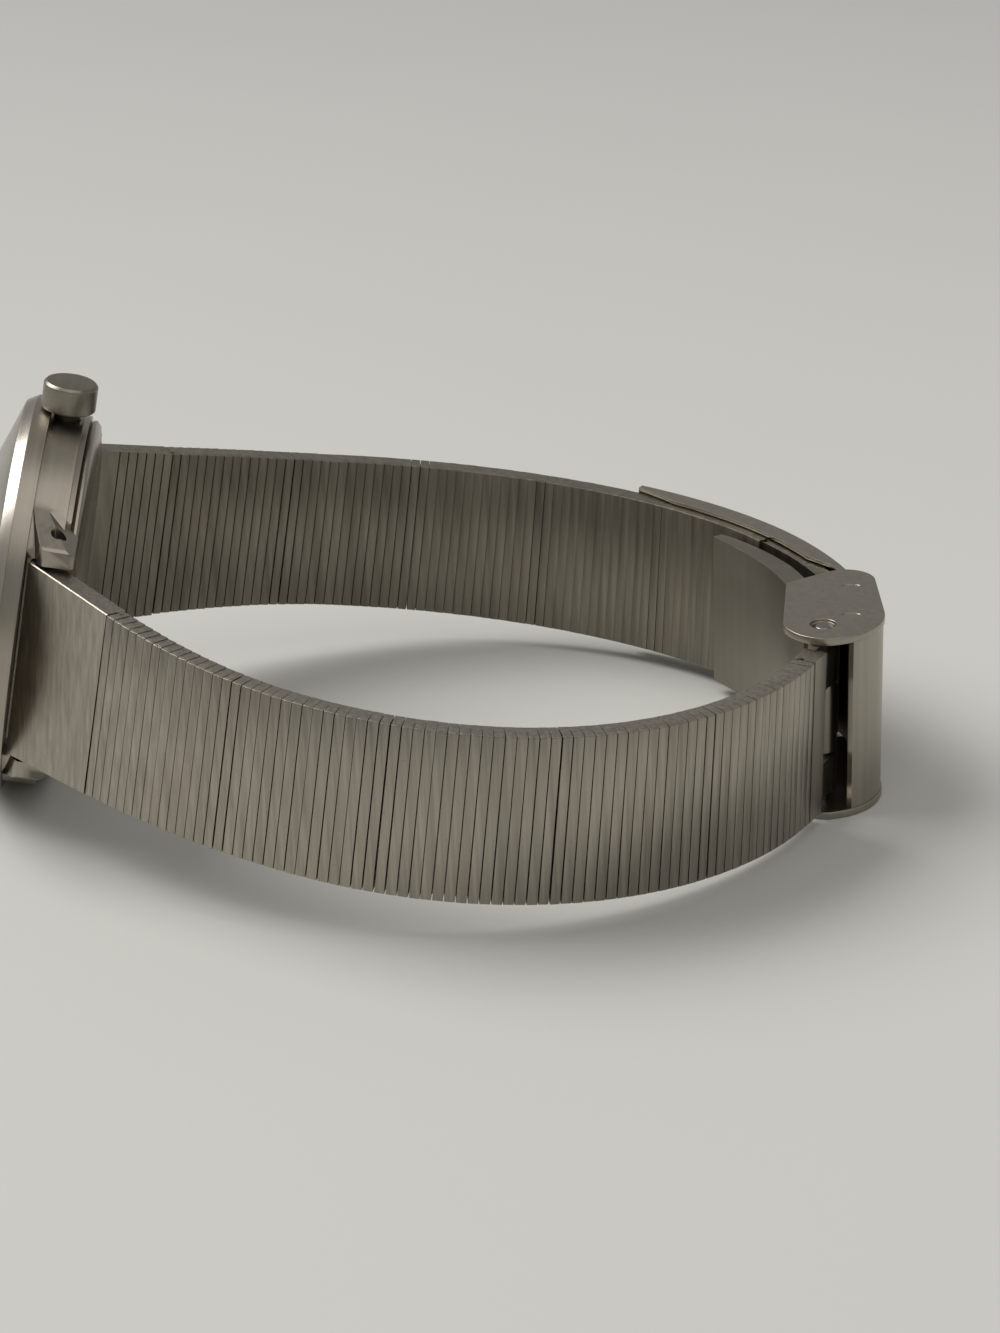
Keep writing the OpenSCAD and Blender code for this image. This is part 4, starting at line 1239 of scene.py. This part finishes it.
@dataclass
class Case:
    """The case, its bezel, crystal, back and crown; points are (radius, height)."""

    watch: Watch
    bezel_r: float = 15.6
    bezel_low: float = 2.5
    shoulder: Point2 = (15.1, 3.4)
    lip: Point2 = (11.0, 4.95)
    seat: Point2 = (10.4, 3.5)
    foot: Point2 = (10.9, 2.45)
    bezel_soft: float = 0.07
    crystal_r: float = 10.75
    crystal_low: float = 3.5
    crystal_edge: float = 5.0
    crystal_dome: float = 5.2
    crystal_soft: float = 0.1
    crystal_steps: int = 12
    crown_r: float = 2.1
    crown_base: float = 15.75
    crown_h: float = 2.2
    crown_top: float = 0.3
    crown_soft: float = 0.05
    stem_r: float = 0.45
    tube_room: Point2 = (1.3, 1.5)
    crown_breaks: Triple = (0.12, 0.22, 0.2)
    middle_ease: float = 0.09
    back_ease: float = 0.06

    def bezel(self) -> None:
        """Turn the sloped bezel with its polished chamfer."""
        (lip_r, _), (seat_r, seat_z), (foot_r, foot_z) = self.lip, self.seat, self.foot
        outline = [(foot_r, self.bezel_low), (self.bezel_r, self.bezel_low), self.shoulder,
                   self.lip, (lip_r, seat_z), self.seat, (seat_r, foot_z), self.foot]
        piece = lathe("turned_bezel", rounded(outline, self.bezel_soft), HEAD, 256)
        self.watch.hand_over(piece, "case", "bezel_steel", "bezel")

    def crystal(self) -> None:
        """Turn the slightly domed crystal."""
        rim, low, edge = self.crystal_r, self.crystal_low, self.crystal_edge
        rise, soft = self.crystal_dome - edge, self.crystal_soft
        shares = [k / self.crystal_steps for k in range(1, self.crystal_steps + 1)]
        top = [(rim * (1 - share), edge + rise * (1 - (1 - share) ** 2)) for share in shares]
        outline = [(0, low), (rim, low), (rim, edge - soft), (rim - soft, edge)] + top
        piece = lathe("domed_crystal", outline, HEAD, 192)
        self.watch.hand_over(piece, "case", "crystal", "crystal")

    def crown(self) -> None:
        """Turn the plain crown with its softly broken edges."""
        b, r, t, (room_r, room_h) = self.crown_base, self.crown_r, self.crown_top, self.tube_room
        top, (foot, side, face) = b + self.crown_h, self.crown_breaks
        outline = [(self.stem_r, top - t), (self.stem_r, b + room_h), (room_r, b + room_h),
                   (room_r, b), (r - foot, b), (r, b + foot), (r, top - side), (r - face, top),
                   (0, top), (0, top - t)]
        place = HEAD @ Matrix.Rotation(math.pi / 2, 4, "Y")
        piece = lathe("turned_crown", rounded(outline, self.crown_soft), place, 128)
        # The crown's finish is the darker steel copy: painted shade.
        self.watch.hand_over(piece, "crown", "painted_shade_crown_steel", "crown")

    @staticmethod
    def every_edge(_point: Vector) -> bool:
        """Choose each long edge, wherever it lies."""
        return True

    def build(self) -> None:
        """Build and hand over the case's pieces."""
        self.bezel()
        self.crystal()
        self.crown()
        middle = self.watch.eased("case_middle", "case_body", self.middle_ease,
                                  chosen=self.every_edge)
        self.watch.hand_over(middle, "case", "case_steel", "case_middle")
        back = self.watch.eased("case_back", "case_back_plate", self.back_ease)
        self.watch.hand_over(back, "case", "case_steel", "case_back")


@dataclass(frozen=True)
class Hand:
    """One hand: its CAD node's name, its sizes and its direction in degrees from the crown."""

    node: str
    length: float
    width: float
    low: float
    bore: float
    tail: float
    turn: float
    neck: float = 0.4
    waist: Point2 = (0.36, 0.55)
    tail_share: float = 0.2
    rim: float = 0.06
    ridge: float = 0.14
    hub_out: float = 0.3
    hub_levels: Triple = (-0.02, 0.1, 0.15)
    hub_soft: float = 0.03


@dataclass
class Dial:
    """Hands, hour batons and minute track under the crystal."""

    watch: Watch
    top: float = 2.45
    hands: tuple[Hand, ...] = (
        Hand("minute_hand", length=8.6, width=0.6, low=3.17, bore=0.45, tail=1.6, turn=-52),
        Hand("hour_hand", length=5.8, width=0.8, low=2.8, bore=0.85, tail=1.3, turn=55))
    hours: int = 12
    baton_span: Point2 = (8.0, 9.8)
    baton_widths: Point2 = (0.72, 0.45)
    baton_rim: float = 0.1
    baton_ridge: float = 0.2
    baton_slope: float = 0.15
    minutes: int = 60
    track_starts: Point2 = (9.9, 9.95)
    track_widths: Point2 = (0.14, 0.07)
    track_end: float = 10.3
    ink: float = 0.008

    def hand(self, hand: Hand) -> None:
        """Make a faceted hand with a ridge, and its hub, and hand them over.

        Args:
            hand: The hand's sizes.
        """
        half, tail = hand.width / 2, -hand.tail * hand.tail_share
        waist_x, waist_y = hand.width * hand.waist[0], hand.length * hand.waist[1]
        outline = [(0, -hand.tail), (half, tail), (half, hand.neck), (waist_x, waist_y),
                   (0, hand.length), (-waist_x, waist_y), (-half, hand.neck), (-half, tail)]
        ridge = [(0, y, hand.low + hand.ridge) for y in (tail, hand.neck, waist_y)]
        bm = bmesh.new()
        ridged_prism(bm, outline, hand.low, hand.low + hand.rim, ridge, (0, 0, 1, 2, 2, 2, 1, 0))
        place = HEAD @ Matrix.Rotation(math.radians(hand.turn - 90), 4, "Z")
        blade = mesh_from(f"{hand.node}_blade", bm, place)
        low, step, top = (hand.low + level for level in hand.hub_levels)
        hub_r = hand.bore + hand.hub_out
        outline = [(0, low), (hub_r, low), (hub_r, step), (hand.bore, top), (0, top)]
        hub = lathe(f"{blade.name}_hub", rounded(outline, hand.hub_soft), HEAD, 48)
        self.watch.hand_over(blade, hand.node, "spring_steel", hand.node)
        self.watch.hand_over(hub, hand.node, "spring_steel")

    def batons(self) -> None:
        """Make the twelve applied batons with ridged tops."""
        (x0, x1), slope = self.baton_span, self.baton_slope
        ridge = [(x, 0, self.top + self.baton_ridge) for x in (x0 + slope, x1 - slope)]
        bm = bmesh.new()
        for i in range(self.hours):
            w = self.baton_widths[0 if i % 3 == 0 else 1] / 2
            outline = [(x0, -w), (x1, -w), (x1, w), (x0, w)]
            turn = Matrix.Rotation(2 * math.pi * i / self.hours, 4, "Z")
            ridged_prism(bm, outline, self.top, self.top + self.baton_rim, ridge, (0, 1, 1, 0),
                         turn)
        piece = mesh_from("hour_batons", bm, HEAD)
        self.watch.hand_over(piece, "case", "spring_steel", "hour_markers")

    def track(self) -> None:
        """Print the minute track as thin raised ink strokes."""
        bm = bmesh.new()
        for i in range(self.minutes):
            kind = 0 if i % 5 == 0 else 1
            x0, w = self.track_starts[kind], self.track_widths[kind] / 2
            outline = [(x0, -w), (self.track_end, -w), (self.track_end, w), (x0, w)]
            turn = Matrix.Rotation(2 * math.pi * i / self.minutes, 4, "Z")
            prism(bm, outline, self.top, self.top + self.ink, turn)
        self.watch.hand_over(mesh_from("minute_track", bm, HEAD), "case", "ink")

    def build(self) -> None:
        """Build and hand over the dial's pieces."""
        for hand in self.hands:
            self.hand(hand)
        self.batons()
        self.track()


@dataclass
class Studio:
    """Floor, lamps, world and the camera at the photograph's angle; the lamps stand in metres."""

    focal_px: float = 3172.0
    frame_px: tuple[int, int] = (1000, 1333)
    eye: Triple = (10.198, -229.636, 108.25)
    yaw: float = math.radians(-0.89)
    pitch: float = math.radians(23.34)
    roll: float = math.radians(-1.89)
    sensor: float = 24.0
    aim: Triple = (0, 0, 0.01)
    floor_half: float = 2.0
    # The floor fades from its near colour to a darker far colour over a span of y: painted shade
    # where the light falls off away from the camera; a soft noise makes it uneven.
    painted_shade_span: Point2 = (0.02, 0.32)
    floor_uneven: float = 0.06
    floor_near: tuple[float, ...] = (0.64, 0.64, 0.615, 1)
    floor_far_painted_shade: tuple[float, ...] = (0.48, 0.48, 0.47, 1)
    sky: tuple[float, ...] = (0.62, 0.61, 0.59, 1)
    sky_strength: float = 0.5

    def camera(self) -> None:
        """Place the camera that took the photograph."""
        sy, cy, sp, cp = (math.sin(self.yaw), math.cos(self.yaw),
                          math.sin(self.pitch), math.cos(self.pitch))
        ahead = Vector((sy * cp, cy * cp, -sp))
        right = Vector((cy, -sy, 0))
        up = right.cross(ahead)
        sr, cr = math.sin(self.roll), math.cos(self.roll)
        right, up = cr * right + sr * up, -sr * right + cr * up
        turn = Matrix((right, up, -ahead)).transposed().to_4x4()
        data = bpy.data.cameras.new("view")
        data.sensor_fit = "VERTICAL"
        data.sensor_height = self.sensor
        data.lens = self.focal_px / self.frame_px[1] * self.sensor
        data.clip_start = 0.01
        cam = bpy.data.objects.new("view", data)
        cam.matrix_world = Matrix.Translation(Vector(self.eye) * MM) @ turn
        bpy.context.scene.collection.objects.link(cam)
        bpy.context.scene.camera = cam

    def lamp(self, name: str, place: Triple, size: float, power: float, colour: Triple) -> None:
        """Add a square soft lamp that faces the watch.

        Args:
            name: The lamp's name.
            place: Where it stands.
            size: Its side.
            power: Its power in watts.
            colour: Its colour.
        """
        data = bpy.data.lights.new(name, "AREA")
        data.shape, data.size, data.energy, data.color = "SQUARE", size, power, colour
        obj = bpy.data.objects.new(name, data)
        obj.location = place
        ahead = Vector(self.aim) - Vector(place)
        obj.rotation_euler = ahead.to_track_quat("-Z", "Y").to_euler()
        bpy.context.scene.collection.objects.link(obj)

    def floor(self) -> None:
        """Lay the pale floor, whose colour darkens away from the camera as painted shade."""
        bm = bmesh.new()
        bmesh.ops.create_grid(bm, x_segments=1, y_segments=1, size=self.floor_half)
        obj = mesh_from("floor", bm)
        material, t, shader, coords = new_material("pale floor")
        away = t.node("ShaderNodeSeparateXYZ", {0: coords}).outputs["Y"]
        uneven = t.remap(t.noise(coords, scale=14.0), 0.0, 1.0, -self.floor_uneven,
                         self.floor_uneven)
        # Painted shade: darker away from the camera, made uneven by soft noise.
        shade = t.math("ADD", t.remap(away, *self.painted_shade_span), uneven)
        t.feed(shader, {"Base Color": t.mix(shade, self.floor_near, self.floor_far_painted_shade),
                        "Roughness": 0.75, "Specular IOR Level": 0.2})
        dress(obj, material)

    def world(self) -> None:
        """Set the even surrounding light."""
        world = bpy.data.worlds.new("studio")
        world.use_nodes = True
        back = world.node_tree.nodes["Background"]
        back.inputs["Color"].default_value = self.sky
        back.inputs["Strength"].default_value = self.sky_strength
        bpy.context.scene.world = world

    def build(self) -> None:
        """Build the studio."""
        self.camera()
        self.floor()
        self.world()
        self.lamp("window", (-0.78, 0.34, 1.02), size=0.9, power=13.2, colour=(1.0, 0.99, 0.97))
        self.lamp("fill", (0.3, -0.4, 1.3), size=1.2, power=3.2, colour=(1.0, 0.98, 0.95))
        bpy.context.scene.view_settings.view_transform = "Standard"


CAD_FINISHES = {
    "white": ("crystal_gasket", "movement_ring"),
    "dial": ("dial",),
    "gasket": ("case_back_gasket", "crown_gasket"),
    # The crown tube is painted near black: painted shadow under the crown.
    "dark_steel": ("crown_tube",),
    "brass": ("main_plate", "barrel_bridge", "train_bridge", "balance_cock", "hour_wheel",
              "minute_wheel", "mainspring_barrel", "centre_wheel", "third_wheel", "fourth_wheel",
              "balance_wheel"),
    "blued_steel": ("bridge_screws", "hairspring"),
    "spring_steel": ("lug_spring_bars", "setting_lever", "winding_stem", "cannon_pinion",
                     "escape_wheel", "pallet_fork"),
}


def main() -> None:
    """Build the looks of the whole watch."""
    logging.basicConfig(level=logging.INFO, format="%(name)s: %(message)s")
    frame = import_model()
    watch = Watch(frame)
    for part in (Bracelet(watch), Clasp(watch), Case(watch), Dial(watch)):
        LOG.info("building %s", type(part).__name__)
        part.build()
    for finish, nodes in CAD_FINISHES.items():
        for node in nodes:
            dress(frame["nodes"][node], finish_material(finish))
    Studio().build()


if __name__ == "__main__":
    main()
